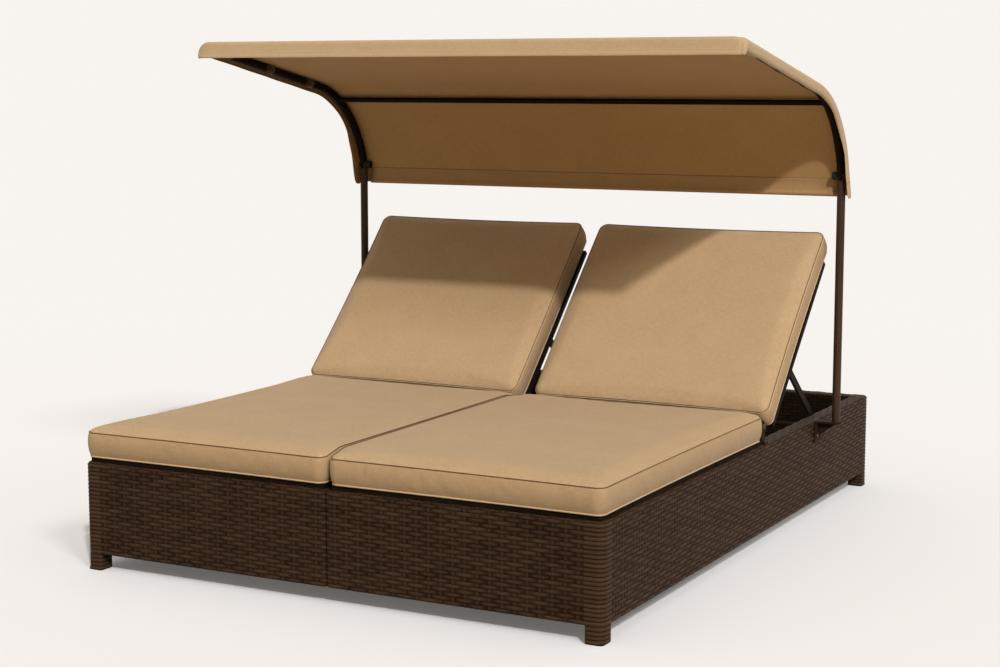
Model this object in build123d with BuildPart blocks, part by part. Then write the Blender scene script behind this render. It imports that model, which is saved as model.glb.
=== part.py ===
from build123d import *
import math
import os

# Double chaise lounger, in millimetres. The origin is on the floor under the middle of the base.
# +X is to the right of somebody who looks at the lounger from its foot end, +Y runs from the foot
# end to the head end and +Z is up. Right-hand pieces are drawn, and their mirror images are left.
os.makedirs("parts", exist_ok=True)

# Base: two woven halves over welded frames
base_width = 1500
base_length = 2000
base_top = 288
ground_clearance = 46
wall = 48
weave = 4
corner_radius = 22
weave_edge_radius = 3.5
seam_gap = 2
fit = 0.2
glide_height = 6
glide_inset = 2
rail_height = 20
upright_width = 20
side_uprights = 12
end_uprights = 5
backing_width = 56
centre_leg_share = 0.5
join_spacer_radius = 10

# Fasteners: shank radius, head radius, head height
screw_shank = 2.5
screw_head = 5
screw_head_height = 2.6
screw_bite = 14
bolt_shank = 4
bolt_head = 7
bolt_head_height = 4
drill_clearance = 0.05

# Seat decks
deck_height = 11
deck_bar = 25
deck_inset = 14
deck_centre_inset = 12
slat_width = 40
slat_height = 10
deck_slats = 7

# Cushions
seat_side_inset = 4
seat_centre_gap = 14
back_side_inset = 1
back_centre_gap = 64
cushion_height = 74
cushion_crown = 13
cushion_corner = 24
cushion_bulge = 3
cushion_draw = 4
seam_rise = 4
seat_front_inset = 4
seat_rear_clearance = 33

# Reclining backs and their hinges
hinge_y = 75
hinge_height = 48
rest_angle = 45
back_start = 20
back_cushion_length = 654
cushion_drop = 32
back_bar_height = 14
back_bar = 25
back_frame_start = 30
back_frame_length = 590
back_frame_side_inset = 3
back_frame_centre_inset = 26
hinge_rail_inset = 12
back_slats = 4
hinge_plate = 6
hinge_pin = 5
hinge_eye = 11
hinge_pin_head = 7.5
hinge_pin_head_height = 2.5
hinge_head_clearance = 0.3
lug_side_inset = 10
bracket_gap = 2
bracket_width = 26
bracket_foot_height = 4
bracket_foot_reach = 9

# Props and notched racks
prop_reach = 300
prop_pivot_drop = 58
prop_length = 445
prop_bar_width = 22
prop_bar_thickness = 8
prop_beam_width = 40
prop_pin = 4
prop_pin_head = 7
prop_pin_head_height = 2.5
foot_bar_radius = 8
foot_height = 232
rack_thickness = 6
rack_depth = 32
rack_clearance = 2.5
rack_front_overrun = 30
rack_rear_overrun = 26
rack_notches = 7
upright_notches = 3
upright_foot_travel = 151
notch_margin = 1
rack_arm_gap = 4
foot_bar_end_gap = 1

# Poles and their feet
pole_radius = 12
tube_wall = 1.8
pole_offset = 58
pole_y = 490
canopy_headroom = 156
foot_plate_width = 50
foot_plate_thickness = 5
foot_plate_height = 62
shelf_thickness = 6
shelf_half_width = 16
gusset_thickness = 5
gusset_height = 42
foot_bolt_spacing = 32
foot_bolt_drop = 40
spigot_length = 80
spigot_fit = 0.05
set_screw_height = 30

# Pole heads: the forks that the canopy arms tilt in
head_plug_length = 30
head_collar = 8
ear_radius = 12
ear_gap = 0.5
tang_half = 5
ear_clearance = 0.3
ear_thickness = 5.7
knob_radius = 11.5
knob_length = 15
knob_lobes = 6
knob_scallop = 3
knob_edge = 1.5
bolt_end_gap = 2

# Canopy frame and fabric: loops hold the fabric to the arms, a sleeve holds the rear rod
arm_radius = 12
arm_bend = 330
arm_end_slope = 74
arm_front_slope = 11
arm_tail = 20
arm_front_length = 570
tang_gap = 4
middle_bar_radius = 8
middle_bar_slope = 31
front_bar_radius = 9
hem_rod_radius = 5
hem_rod_end_gap = 8
sleeve_thickness = 1.5
sleeve_end = 4
sleeve_sink = 1.2
loop_thickness = 1.5
loop_width = 40
loop_shares = (0.12, 0.5, 0.88)
end_cap_height = 3
end_cap_depth = 15
end_cap_fit = 0.1
fabric = 3
fabric_gap = 0.3
canopy_overhang = 24
flap_drop = 33
front_overhang = 38
rear_drop = 84
fabric_side_radius = 18
fabric_front_radius = 10
cut_overrun = 60

hands = (("left", -1), ("right", 1))
half_width = base_width / 2
half_length = base_length / 2
hinge_z = base_top + hinge_height
frame_width = wall - 2 * weave
frame_start = seam_gap / 2 + weave
ladder_outer = frame_start + frame_width
rail_top = base_top - weave
leg_x = half_width - wall / 2
leg_y = half_length - wall / 2
well_side = half_width - wall


def finish(piece, name):
    """Labels a finished piece and writes it."""
    piece.part.label = name
    export_step(piece.part, f"parts/{name}.step")


def to_hand(side):
    """Turns the piece being drawn into its mirror image for the left hand."""
    if side < 0:
        mirror(about=Plane.YZ, mode=Mode.REPLACE)


def spaced(first, last, count):
    """Gives count even places from first to last."""
    return [first + (last - first) * place / (count - 1) for place in range(count)]


def side_plane(x):
    """A plane across X whose own x and y run along Y and Z."""
    return Plane(origin=(x, 0, 0), x_dir=(0, 1, 0), z_dir=(1, 0, 0))


def bar_between(low, high):
    """A rectangular bar between two corners."""
    middle = [(a + b) / 2 for a, b in zip(low, high)]
    with Locations(tuple(middle)):
        Box(*[b - a for a, b in zip(low, high)])


def drill(at, outward, radius, depth):
    """A round hole that goes in from a face at a point, against its outward direction."""
    with BuildSketch(Plane(origin=at, z_dir=outward)) as hole:
        Circle(radius)
    extrude(hole.sketch, amount=-depth, mode=Mode.SUBTRACT)


def screw(at, outward, shank, length, head, head_height):
    """A screw or bolt whose head sits on a face at a point."""
    with BuildSketch(Plane(origin=at, z_dir=outward)) as top:
        Circle(head)
    extrude(top.sketch, amount=head_height)
    with BuildSketch(Plane(origin=at, z_dir=outward)) as shaft:
        Circle(shank)
    extrude(shaft.sketch, amount=-length)


def half_ring(level, inset, thickness, start):
    """The plan of one half of the base's wall: a C round the front, the outer side and the rear."""
    with BuildSketch(Plane.XY.offset(level)) as plan:
        RectangleRounded(base_width - 2 * inset, base_length - 2 * inset, corner_radius - inset)
        inner = inset + thickness
        Rectangle(base_width - 2 * inner, base_length - 2 * inner, mode=Mode.SUBTRACT)
        with Locations((start + half_width, 0)):
            Rectangle(base_width, base_length, mode=Mode.INTERSECT)
    return plan.sketch


def leg_plan(level, end, inset):
    """The plan of one outer leg, rounded only at the outer corner of the base."""
    with BuildSketch(Plane.XY.offset(level)) as plan:
        RectangleRounded(base_width - 2 * inset, base_length - 2 * inset, corner_radius - inset)
        with Locations((leg_x, end * leg_y)):
            Rectangle(wall - 2 * inset, wall - 2 * inset, mode=Mode.INTERSECT)
    return plan.sketch


# Places of the frame's uprights, which the screws and bolts of the base also use
side_places = spaced(-leg_y, leg_y, side_uprights)
end_places = spaced(frame_start + upright_width / 2, leg_x, end_uprights)
centre_leg_places = (-centre_leg_share * half_length, centre_leg_share * half_length)
rack_places = [y for y in side_places if y > pole_y + backing_width][:2]
join_places = side_places[1::3]
join_height = (ground_clearance + base_top) / 2 - rack_depth
ladder_y = leg_y - wall / 2

# Hinge: brackets on the wall and on the centre ladder, lugs on the back frame
outer_lug_x = half_width - hinge_rail_inset - lug_side_inset - hinge_plate
inner_lug_x = hinge_rail_inset + lug_side_inset
outer_bracket_x = outer_lug_x + hinge_plate + bracket_gap
inner_bracket_x = inner_lug_x - bracket_gap - hinge_plate
bracket_screw_x = (outer_bracket_x + hinge_plate + bracket_foot_reach / 2,
                   inner_bracket_x - bracket_foot_reach / 2)
bracket_sides = ((outer_bracket_x, 1, bracket_screw_x[0]), (inner_bracket_x, -1, bracket_screw_x[1]))

# The back's own plane: its x is X, its y runs up the back, its z stands out of the back's face
tilt = math.radians(rest_angle)
back_plane = Plane(origin=(0, hinge_y, hinge_z), x_dir=(1, 0, 0),
                   z_dir=(0, -math.sin(tilt), math.cos(tilt)))


def back_side_plane(x):
    """A plane across X whose own x runs up the back and whose y stands out of its face."""
    return Plane(origin=(x, hinge_y, hinge_z), x_dir=back_plane.y_dir, z_dir=(1, 0, 0))


# The canopy's pivot stands clear above the backs' highest edge at rest
back_rise = (back_start + back_cushion_length) * math.sin(tilt)
crown_rise = (cushion_height - seam_rise / 2 + cushion_crown - cushion_drop) * math.cos(tilt)
pivot_height = hinge_z + back_rise + crown_rise + canopy_headroom

# Prop: its pivot under the back, and its foot bar in the racks
prop_pivot = back_plane.from_local_coords((0, prop_reach, -prop_pivot_drop))
prop_slope = math.asin((prop_pivot.Z - foot_height) / prop_length)
foot_y = prop_pivot.Y + prop_length * math.cos(prop_slope)
rack_outer_x = well_side - rack_thickness
outer_arm_x = rack_outer_x - rack_arm_gap - prop_bar_thickness
inner_arm_x = ladder_outer + rack_thickness + rack_arm_gap
outer_prop_lug_x = outer_arm_x - bracket_gap - hinge_plate
inner_prop_lug_x = inner_arm_x + prop_bar_thickness + bracket_gap
rack_tip = foot_height - foot_bar_radius - rack_clearance
notch_pitch = upright_foot_travel / upright_notches
rack_front = foot_y - upright_foot_travel - rack_front_overrun
rack_rear = rack_front + rack_front_overrun + notch_pitch * (rack_notches - 1) + rack_rear_overrun
rack_screw_height = rack_tip - rack_depth + screw_head + fit

# Poles stand just outside the side walls
pole_x = half_width + pole_offset
foot_bolt_height = base_top - foot_bolt_drop
foot_bolt_places = (pole_y - foot_bolt_spacing / 2, pole_y + foot_bolt_spacing / 2)
pole_base = base_top
pole_top = pivot_height - ear_radius - ear_gap - head_collar
spigot_radius = pole_radius - tube_wall - spigot_fit

# Canopy: the centre line of its arms in the side view, from the pivot up and forwards
end_slope = math.radians(arm_end_slope)
front_slope = math.radians(arm_front_slope)
tail_y = pole_y - arm_tail * math.cos(end_slope)
tail_z = pivot_height + arm_tail * math.sin(end_slope)
bend_y = tail_y - arm_bend * math.sin(end_slope)
bend_z = tail_z - arm_bend * math.cos(end_slope)


def along_bend(slope, offset):
    """A point on the bend, or beside it by an offset, where the arm has a given slope."""
    radius = arm_bend + offset
    return (bend_y + radius * math.sin(slope), bend_z + radius * math.cos(slope))


def along_front(length, offset):
    """A point on the straight front stretch, or beside it, at a length from the bend."""
    y, z = along_bend(front_slope, offset)
    return (y - length * math.cos(front_slope), z + length * math.sin(front_slope))


front_bar = along_front(arm_front_length, 0)
middle_bar = along_bend(math.radians(middle_bar_slope), 0)
sleeve_radius = hem_rod_radius + sleeve_thickness
sleeve_place = along_bend(end_slope, arm_radius + fabric_gap + sleeve_sink - sleeve_radius)
hem_rod = (sleeve_place[0] + (rear_drop - sleeve_radius) * math.cos(end_slope),
           sleeve_place[1] - (rear_drop - sleeve_radius) * math.sin(end_slope))
hem_rod_end = pole_x - pole_radius - hem_rod_end_gap
fabric_offset = arm_radius + fabric_gap + fabric

# Wicker shells: woven skin over the frame, open below, with the woven sleeves of the legs
for hand, side in hands:
    with BuildPart() as wicker_shell:
        extrude(half_ring(ground_clearance, 0, wall, seam_gap / 2),
                amount=base_top - ground_clearance)
        fillet(wicker_shell.edges().group_by(Axis.Z)[-1], radius=weave_edge_radius)
        for end in (-1, 1):
            extrude(leg_plan(glide_height, end, 0), amount=ground_clearance - glide_height)
            extrude(leg_plan(glide_height, end, weave), amount=ground_clearance - glide_height,
                    mode=Mode.SUBTRACT)
        extrude(half_ring(ground_clearance, weave, frame_width, frame_start),
                amount=rail_top - ground_clearance, mode=Mode.SUBTRACT)
        for end in (-1, 1):
            with Locations((frame_start, end * (ladder_y + weave / 2), ground_clearance)):
                Box(frame_width + fit, weave + 2 * fit, rail_top - ground_clearance,
                    align=(Align.MIN, Align.CENTER, Align.MIN), mode=Mode.SUBTRACT)
        for x, y in ((bracket_screw_x[0], hinge_y), (leg_x, side_places[1]), (leg_x, side_places[4])):
            drill((x, y, base_top), (0, 0, 1), screw_shank + drill_clearance, weave)
        for y in rack_places:
            drill((well_side, y, rack_screw_height), (-1, 0, 0), screw_shank + drill_clearance, weave)
        for y in foot_bolt_places:
            drill((half_width, y, foot_bolt_height), (1, 0, 0), bolt_shank + drill_clearance, weave)
        to_hand(side)
    wicker_shell.part.label = f"{hand}_wicker_shell"
    export_step(wicker_shell.part, f"parts/{hand}_wicker_shell.step")

# Side frames: two rails, their uprights, a wide upright behind the pole foot, and the outer legs
frame_holes = ((leg_x, side_places[1]), (leg_x, side_places[4]), (bracket_screw_x[0], hinge_y))
for hand, side in hands:
    with BuildPart() as side_frame:
        for level in (ground_clearance, rail_top - rail_height):
            bar_between((leg_x - frame_width / 2, -leg_y, level),
                        (leg_x + frame_width / 2, leg_y, level + rail_height))
        for y in side_places[1:-1]:
            bar_between((leg_x - frame_width / 2, y - upright_width / 2, ground_clearance),
                        (leg_x + frame_width / 2, y + upright_width / 2, rail_top))
        bar_between((leg_x - frame_width / 2, pole_y - backing_width / 2, ground_clearance),
                    (leg_x + frame_width / 2, pole_y + backing_width / 2, rail_top))
        for end in (-1, 1):
            extrude(leg_plan(glide_height, end, weave), amount=rail_top - glide_height)
        for x, y in frame_holes:
            drill((x, y, rail_top), (0, 0, 1), screw_shank + drill_clearance, screw_bite)
        for y in rack_places:
            drill((well_side + weave, y, rack_screw_height), (-1, 0, 0),
                  screw_shank + drill_clearance, screw_bite)
        for y in foot_bolt_places:
            drill((half_width - weave, y, foot_bolt_height), (1, 0, 0),
                  bolt_shank + drill_clearance, screw_bite)
        to_hand(side)
    side_frame.part.label = f"{hand}_side_frame"
    export_step(side_frame.part, f"parts/{hand}_side_frame.step")

# End frames: the same rails and uprights across the front and the rear
for hand, side in hands:
    with BuildPart() as end_frames:
        for end in (-1, 1):
            for level in (ground_clearance, rail_top - rail_height):
                bar_between((frame_start, end * leg_y - frame_width / 2, level),
                            (leg_x - frame_width / 2, end * leg_y + frame_width / 2,
                             level + rail_height))
            for x in end_places[:-1]:
                bar_between((x - upright_width / 2, end * leg_y - frame_width / 2, ground_clearance),
                            (x + upright_width / 2, end * leg_y + frame_width / 2, rail_top))
        to_hand(side)
    end_frames.part.label = f"{hand}_end_frames"
    export_step(end_frames.part, f"parts/{hand}_end_frames.step")

# Centre frames: ladders along the middle of the base with a cap bar and two legs
for hand, side in hands:
    with BuildPart() as centre_frame:
        for level in (ground_clearance, rail_top - rail_height):
            bar_between((frame_start, -leg_y + frame_width / 2, level),
                        (ladder_outer, leg_y - frame_width / 2, level + rail_height))
        bar_between((frame_start, -ladder_y + fit, rail_top), (ladder_outer, ladder_y - fit, base_top))
        for y in side_places[1:-1]:
            bar_between((frame_start, y - upright_width / 2, ground_clearance),
                        (ladder_outer, y + upright_width / 2, rail_top))
        for y in centre_leg_places:
            bar_between((frame_start, y - frame_width / 2, glide_height),
                        (ladder_outer, y + frame_width / 2, rail_top))
        for x, y in ((bracket_screw_x[1], hinge_y), (ladder_outer - frame_width / 2, side_places[1]),
                     (ladder_outer - frame_width / 2, side_places[4])):
            drill((x, y, base_top), (0, 0, 1), screw_shank + drill_clearance, screw_bite)
        for y in rack_places:
            drill((ladder_outer, y, rack_screw_height), (1, 0, 0),
                  screw_shank + drill_clearance, screw_bite)
        for y in join_places:
            drill((ladder_outer, y, join_height), (1, 0, 0), bolt_shank + drill_clearance, frame_width)
        to_hand(side)
    centre_frame.part.label = f"{hand}_centre_frame"
    export_step(centre_frame.part, f"parts/{hand}_centre_frame.step")

# Foot glides under the eight legs
with BuildPart() as foot_glides:
    with BuildSketch():
        glide_width = wall - 2 * glide_inset
        with Locations([(x * leg_x, y * leg_y) for x in (-1, 1) for y in (-1, 1)]):
            RectangleRounded(glide_width, glide_width, corner_radius / 2)
        centre_x = frame_start + frame_width / 2
        with Locations([(x * centre_x, y) for x in (-1, 1) for y in centre_leg_places]):
            Rectangle(frame_width, frame_width)
    extrude(amount=glide_height)
finish(foot_glides, "foot_glides")

# Bolts, spacers and nuts that join the two halves through their centre ladders
with BuildPart() as join_bolts:
    for y in join_places:
        screw((ladder_outer, y, join_height), (1, 0, 0), bolt_shank, 2 * ladder_outer,
              bolt_head, bolt_head_height)
        with BuildSketch(side_plane(-ladder_outer)):
            with Locations((y, join_height)):
                RegularPolygon(bolt_head, side_count=6)
        extrude(amount=-bolt_head_height)
finish(join_bolts, "join_bolts")
with BuildPart() as join_spacers:
    for y in join_places:
        with BuildSketch(side_plane(-frame_start)):
            with Locations((y, join_height)):
                Circle(join_spacer_radius)
                Circle(bolt_shank + drill_clearance, mode=Mode.SUBTRACT)
        extrude(amount=2 * frame_start)
finish(join_spacers, "join_spacers")

# Seat decks: a flat frame with cross slats that carries each seat cushion
deck_front = -half_length + deck_inset
deck_rear = hinge_y - bracket_width / 2 - bracket_gap
deck_outer = half_width - deck_inset
deck_top = base_top + deck_height
deck_screw_places = [(x, y) for x in (leg_x, ladder_outer - frame_width / 2)
                     for y in (side_places[1], side_places[4])]
for hand, side in hands:
    with BuildPart() as seat_deck:
        with BuildSketch(Plane.XY.offset(base_top)):
            middle = ((deck_centre_inset + deck_outer) / 2, (deck_front + deck_rear) / 2)
            with Locations(middle):
                Rectangle(deck_outer - deck_centre_inset, deck_rear - deck_front)
                Rectangle(deck_outer - deck_centre_inset - 2 * deck_bar,
                          deck_rear - deck_front - 2 * deck_bar, mode=Mode.SUBTRACT)
        extrude(amount=deck_height)
        for y in spaced(deck_front, deck_rear, deck_slats + 2)[1:-1]:
            bar_between((deck_centre_inset, y - slat_width / 2, deck_top - slat_height),
                        (deck_outer, y + slat_width / 2, deck_top))
        for x, y in deck_screw_places:
            bar_between((x - deck_bar / 2, y - deck_bar / 2, base_top),
                        (x + deck_bar / 2, y + deck_bar / 2, deck_top))
            drill((x, y, deck_top), (0, 0, 1), screw_shank + drill_clearance, deck_height)
            drill((x, y, deck_top), (0, 0, 1), screw_head + fit, screw_head_height + fit)
        to_hand(side)
    seat_deck.part.label = f"{hand}_seat_deck"
    export_step(seat_deck.part, f"parts/{hand}_seat_deck.step")
with BuildPart() as deck_screws:
    for x, y in deck_screw_places:
        for side in (-1, 1):
            screw((side * x, y, deck_top - screw_head_height - fit), (0, 0, 1), screw_shank,
                  deck_height + screw_head_height, screw_head, screw_head_height)
finish(deck_screws, "deck_screws")

# Cushions: shares of the crown's rise, each with the inset's share of the shorter half span
crown_shares = ((0.38, 0.05), (0.76, 0.185), (0.95, 0.4), (1, 0.62))


def cushion_outline(plane, x0, x1, y0, y1, corner):
    """A cushion's plan at one level: bowed-in sides between rounded corners."""
    with BuildSketch(plane) as outline:
        with BuildLine():
            ends = []
            for cx, cy, turn in ((x1 - corner, y0 + corner, -90), (x1 - corner, y1 - corner, 0),
                                 (x0 + corner, y1 - corner, 90), (x0 + corner, y0 + corner, 180)):
                points = [(cx + corner * math.cos(math.radians(turn + 45 * step)),
                           cy + corner * math.sin(math.radians(turn + 45 * step)))
                          for step in range(3)]
                ThreePointArc(*points)
                ends.append((points[0], points[-1]))
            centre_x, centre_y = (x0 + x1) / 2, (y0 + y1) / 2
            for place in range(4):
                start, stop = ends[place][1], ends[(place + 1) % 4][0]
                mid_x, mid_y = (start[0] + stop[0]) / 2, (start[1] + stop[1]) / 2
                reach = math.hypot(centre_x - mid_x, centre_y - mid_y)
                share = cushion_draw / reach
                ThreePointArc(start, (mid_x + (centre_x - mid_x) * share,
                                      mid_y + (centre_y - mid_y) * share), stop)
        make_face()
    return outline.sketch


def cushion_form(plane, x0, x1, y0, y1):
    """A boxed cushion: a flat underside, two seams, bulging sides and a crowned top."""
    half_span = min(x1 - x0, y1 - y0) / 2
    seam_top = cushion_height - seam_rise / 2
    levels = [(0, cushion_corner / 3), (seam_rise, 0), (cushion_height / 2, -cushion_bulge),
              (seam_top, 0)]
    for rise_share, inset_share in crown_shares:
        levels.append((seam_top + cushion_crown * rise_share, half_span * inset_share))
    outlines = [cushion_outline(plane.offset(level), x0 + inset, x1 - inset, y0 + inset, y1 - inset,
                                cushion_corner + max(inset, 0) / 4) for level, inset in levels]
    loft(outlines, ruled=True)


seat_x = (seat_centre_gap / 2, half_width - seat_side_inset)
back_x = (back_centre_gap / 2, half_width - back_side_inset)
seat_y = (-half_length + seat_front_inset, hinge_y - seat_rear_clearance)
for hand, side in hands:
    with BuildPart() as seat_cushion:
        cushion_form(Plane.XY.offset(deck_top), *seat_x, *seat_y)
        to_hand(side)
    seat_cushion.part.label = f"{hand}_seat_cushion"
    export_step(seat_cushion.part, f"parts/{hand}_seat_cushion.step")
for hand, side in hands:
    with BuildPart() as back_cushion:
        cushion_form(back_plane.offset(-cushion_drop), *back_x,
                     back_start, back_start + back_cushion_length)
        to_hand(side)
    back_cushion.part.label = f"{hand}_back_cushion"
    export_step(back_cushion.part, f"parts/{hand}_back_cushion.step")

# Hinge brackets: upright plates with feet, on the side wall and on the centre ladder
for hand, side in hands:
    for place, (x, way, screw_x) in zip(("outer", "inner"), bracket_sides):
        with BuildPart() as hinge_bracket:
            with BuildSketch(side_plane(x)):
                with Locations((hinge_y, base_top)):
                    Rectangle(bracket_width, hinge_height, align=(Align.CENTER, Align.MIN))
                with Locations((hinge_y, hinge_z)):
                    Circle(bracket_width / 2)
                    Circle(hinge_pin + drill_clearance, mode=Mode.SUBTRACT)
            extrude(amount=hinge_plate)
            foot_start = x + hinge_plate if way > 0 else x - bracket_foot_reach
            bar_between((foot_start, hinge_y - bracket_width / 2, base_top),
                        (foot_start + bracket_foot_reach, hinge_y + bracket_width / 2,
                         base_top + bracket_foot_height))
            drill((screw_x, hinge_y, base_top + bracket_foot_height), (0, 0, 1),
                  screw_shank + drill_clearance, bracket_foot_height)
            to_hand(side)
        hinge_bracket.part.label = f"{hand}_{place}_hinge_bracket"
        export_step(hinge_bracket.part, f"parts/{hand}_{place}_hinge_bracket.step")
with BuildPart() as bracket_screws:
    for screw_x in bracket_screw_x:
        for side in (-1, 1):
            screw((side * screw_x, hinge_y, base_top + bracket_foot_height), (0, 0, 1), screw_shank,
                  bracket_foot_height + weave + screw_bite / 2, bracket_foot_reach / 2 - fit,
                  screw_head_height)
finish(bracket_screws, "bracket_screws")

# Hinge pins: one through each bracket and lug, with a head at both ends
with BuildPart() as hinge_pins:
    for side in (-1, 1):
        for bracket_face, lug_face in ((outer_bracket_x + hinge_plate, outer_lug_x),
                                       (inner_bracket_x, inner_lug_x + hinge_plate)):
            way = math.copysign(1, lug_face - bracket_face)
            grip = abs(lug_face - bracket_face) + hinge_head_clearance
            screw((side * bracket_face, hinge_y, hinge_z), (-side * way, 0, 0), hinge_pin,
                  grip, hinge_pin_head, hinge_pin_head_height)
            with BuildSketch(Plane(origin=(side * (bracket_face + way * grip), hinge_y, hinge_z),
                                   z_dir=(side * way, 0, 0))):
                Circle(hinge_pin_head)
            extrude(amount=hinge_pin_head_height)
finish(hinge_pins, "hinge_pins")

# Back frames: flat bars and slats, the hinge lugs and the lugs of the prop
frame_low = -cushion_drop - back_bar_height
beam = (prop_reach - prop_beam_width / 2, prop_reach + prop_beam_width / 2)
for hand, side in hands:
    with BuildPart() as back_frame:
        with BuildSketch(back_plane.offset(frame_low)):
            frame_x = (back_frame_centre_inset, half_width - back_frame_side_inset)
            middle = (sum(frame_x) / 2, back_frame_start + back_frame_length / 2)
            with Locations(middle):
                Rectangle(frame_x[1] - frame_x[0], back_frame_length)
                Rectangle(frame_x[1] - frame_x[0] - 2 * back_bar, back_frame_length - 2 * back_bar,
                          mode=Mode.SUBTRACT)
            with Locations((middle[0], prop_reach)):
                Rectangle(frame_x[1] - frame_x[0], prop_beam_width)
            with Locations((hinge_rail_inset, back_frame_start)):
                Rectangle(frame_x[1] - hinge_rail_inset, back_bar, align=(Align.MIN, Align.MIN))
        extrude(amount=back_bar_height)
        with BuildSketch(back_plane.offset(-cushion_drop - slat_height)):
            slat_starts = (back_frame_start, prop_reach, back_frame_start + back_frame_length)
            for start, stop in zip(slat_starts, slat_starts[1:]):
                for u in spaced(start, stop, back_slats // 2 + 2)[1:-1]:
                    with Locations((middle[0], u)):
                        Rectangle(frame_x[1] - frame_x[0], slat_width)
        extrude(amount=slat_height)
        for x in (outer_lug_x, inner_lug_x):
            with BuildSketch(back_side_plane(x)):
                with BuildLine():
                    Polyline((-hinge_eye, 0), (-hinge_eye, -hinge_eye), (back_frame_start / 2, frame_low),
                             (back_frame_start + back_bar, frame_low),
                             (back_frame_start + back_bar, -cushion_drop),
                             (back_start - cushion_bulge - fit, -cushion_drop), (hinge_eye, 0),
                             (-hinge_eye, 0))
                make_face()
                Circle(hinge_eye)
                Circle(hinge_pin + drill_clearance, mode=Mode.SUBTRACT)
            extrude(amount=hinge_plate)
        for x in (outer_prop_lug_x, inner_prop_lug_x):
            with BuildSketch(back_side_plane(x)):
                with Locations((prop_reach, frame_low)):
                    Rectangle(2 * prop_pin_head + bolt_shank, prop_pivot_drop + frame_low,
                              align=(Align.CENTER, Align.MAX))
                with Locations((prop_reach, -prop_pivot_drop)):
                    Circle(prop_pin_head + bolt_shank / 2)
                    Circle(prop_pin + drill_clearance, mode=Mode.SUBTRACT)
            extrude(amount=hinge_plate)
        to_hand(side)
    back_frame.part.label = f"{hand}_back_frame"
    export_step(back_frame.part, f"parts/{hand}_back_frame.step")

# Prop arms: flat bars from the back's lugs to the foot bar
for hand, side in hands:
    for place, x in (("outer", outer_arm_x), ("inner", inner_arm_x)):
        with BuildPart() as prop_arm:
            along = Plane(origin=(x, prop_pivot.Y, prop_pivot.Z),
                          x_dir=(0, math.cos(prop_slope), -math.sin(prop_slope)), z_dir=(1, 0, 0))
            with BuildSketch(along):
                Circle(prop_bar_width / 2)
                with Locations((prop_length, 0)):
                    Circle(prop_bar_width / 2)
                with Locations((prop_length / 2, 0)):
                    Rectangle(prop_length, prop_bar_width)
                Circle(prop_pin + drill_clearance, mode=Mode.SUBTRACT)
                with Locations((prop_length, 0)):
                    Circle(foot_bar_radius + drill_clearance, mode=Mode.SUBTRACT)
            extrude(amount=prop_bar_thickness)
            to_hand(side)
        prop_arm.part.label = f"{hand}_prop_{place}_arm"
        export_step(prop_arm.part, f"parts/{hand}_prop_{place}_arm.step")
for hand, side in hands:
    with BuildPart() as prop_foot_bar:
        with BuildSketch(side_plane(ladder_outer + foot_bar_end_gap)):
            with Locations((foot_y, foot_height)):
                Circle(foot_bar_radius)
        extrude(amount=well_side - ladder_outer - 2 * foot_bar_end_gap)
        to_hand(side)
    prop_foot_bar.part.label = f"{hand}_prop_foot_bar"
    export_step(prop_foot_bar.part, f"parts/{hand}_prop_foot_bar.step")
with BuildPart() as prop_pins:
    for side in (-1, 1):
        for head_face, lug_face in ((outer_arm_x + prop_bar_thickness + hinge_head_clearance,
                                     outer_prop_lug_x),
                                    (inner_arm_x - hinge_head_clearance,
                                     inner_prop_lug_x + hinge_plate)):
            way = math.copysign(1, lug_face - head_face)
            screw((side * head_face, prop_pivot.Y, prop_pivot.Z), (-side * way, 0, 0), prop_pin,
                  abs(lug_face - head_face) + prop_pin_head_height, prop_pin_head,
                  prop_pin_head_height)
for hand, side in hands:
    with BuildPart() as hand_pins:
        add(prop_pins.part.solids().filter_by(lambda pin: pin.center().X * side > 0))
    hand_pins.part.label = f"{hand}_prop_pins"
    export_step(hand_pins.part, f"parts/{hand}_prop_pins.step")

# Racks: notched plates on the side wall and on the centre ladder, which the foot bars stand in
for hand, side in hands:
    for place, x in (("outer", rack_outer_x), ("inner", ladder_outer)):
        with BuildPart() as rack:
            with BuildSketch(side_plane(x)):
                with Locations((rack_front, rack_tip)):
                    Rectangle(rack_rear - rack_front, rack_depth, align=(Align.MIN, Align.MAX))
                for notch in range(rack_notches):
                    with Locations((foot_y - upright_foot_travel + notch * notch_pitch, rack_tip)):
                        Circle(foot_bar_radius + notch_margin, mode=Mode.SUBTRACT)
                for y in rack_places:
                    with Locations((y, rack_screw_height)):
                        Circle(screw_shank + drill_clearance, mode=Mode.SUBTRACT)
            extrude(amount=rack_thickness)
            to_hand(side)
        rack.part.label = f"{hand}_{place}_rack"
        export_step(rack.part, f"parts/{hand}_{place}_rack.step")
with BuildPart() as rack_screws:
    for side in (-1, 1):
        for y in rack_places:
            for x, way in ((rack_outer_x, -1), (ladder_outer + rack_thickness, 1)):
                screw((side * x, y, rack_screw_height), (side * way, 0, 0), screw_shank,
                      rack_thickness + screw_bite, screw_head, screw_head_height)
finish(rack_screws, "rack_screws")

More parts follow.
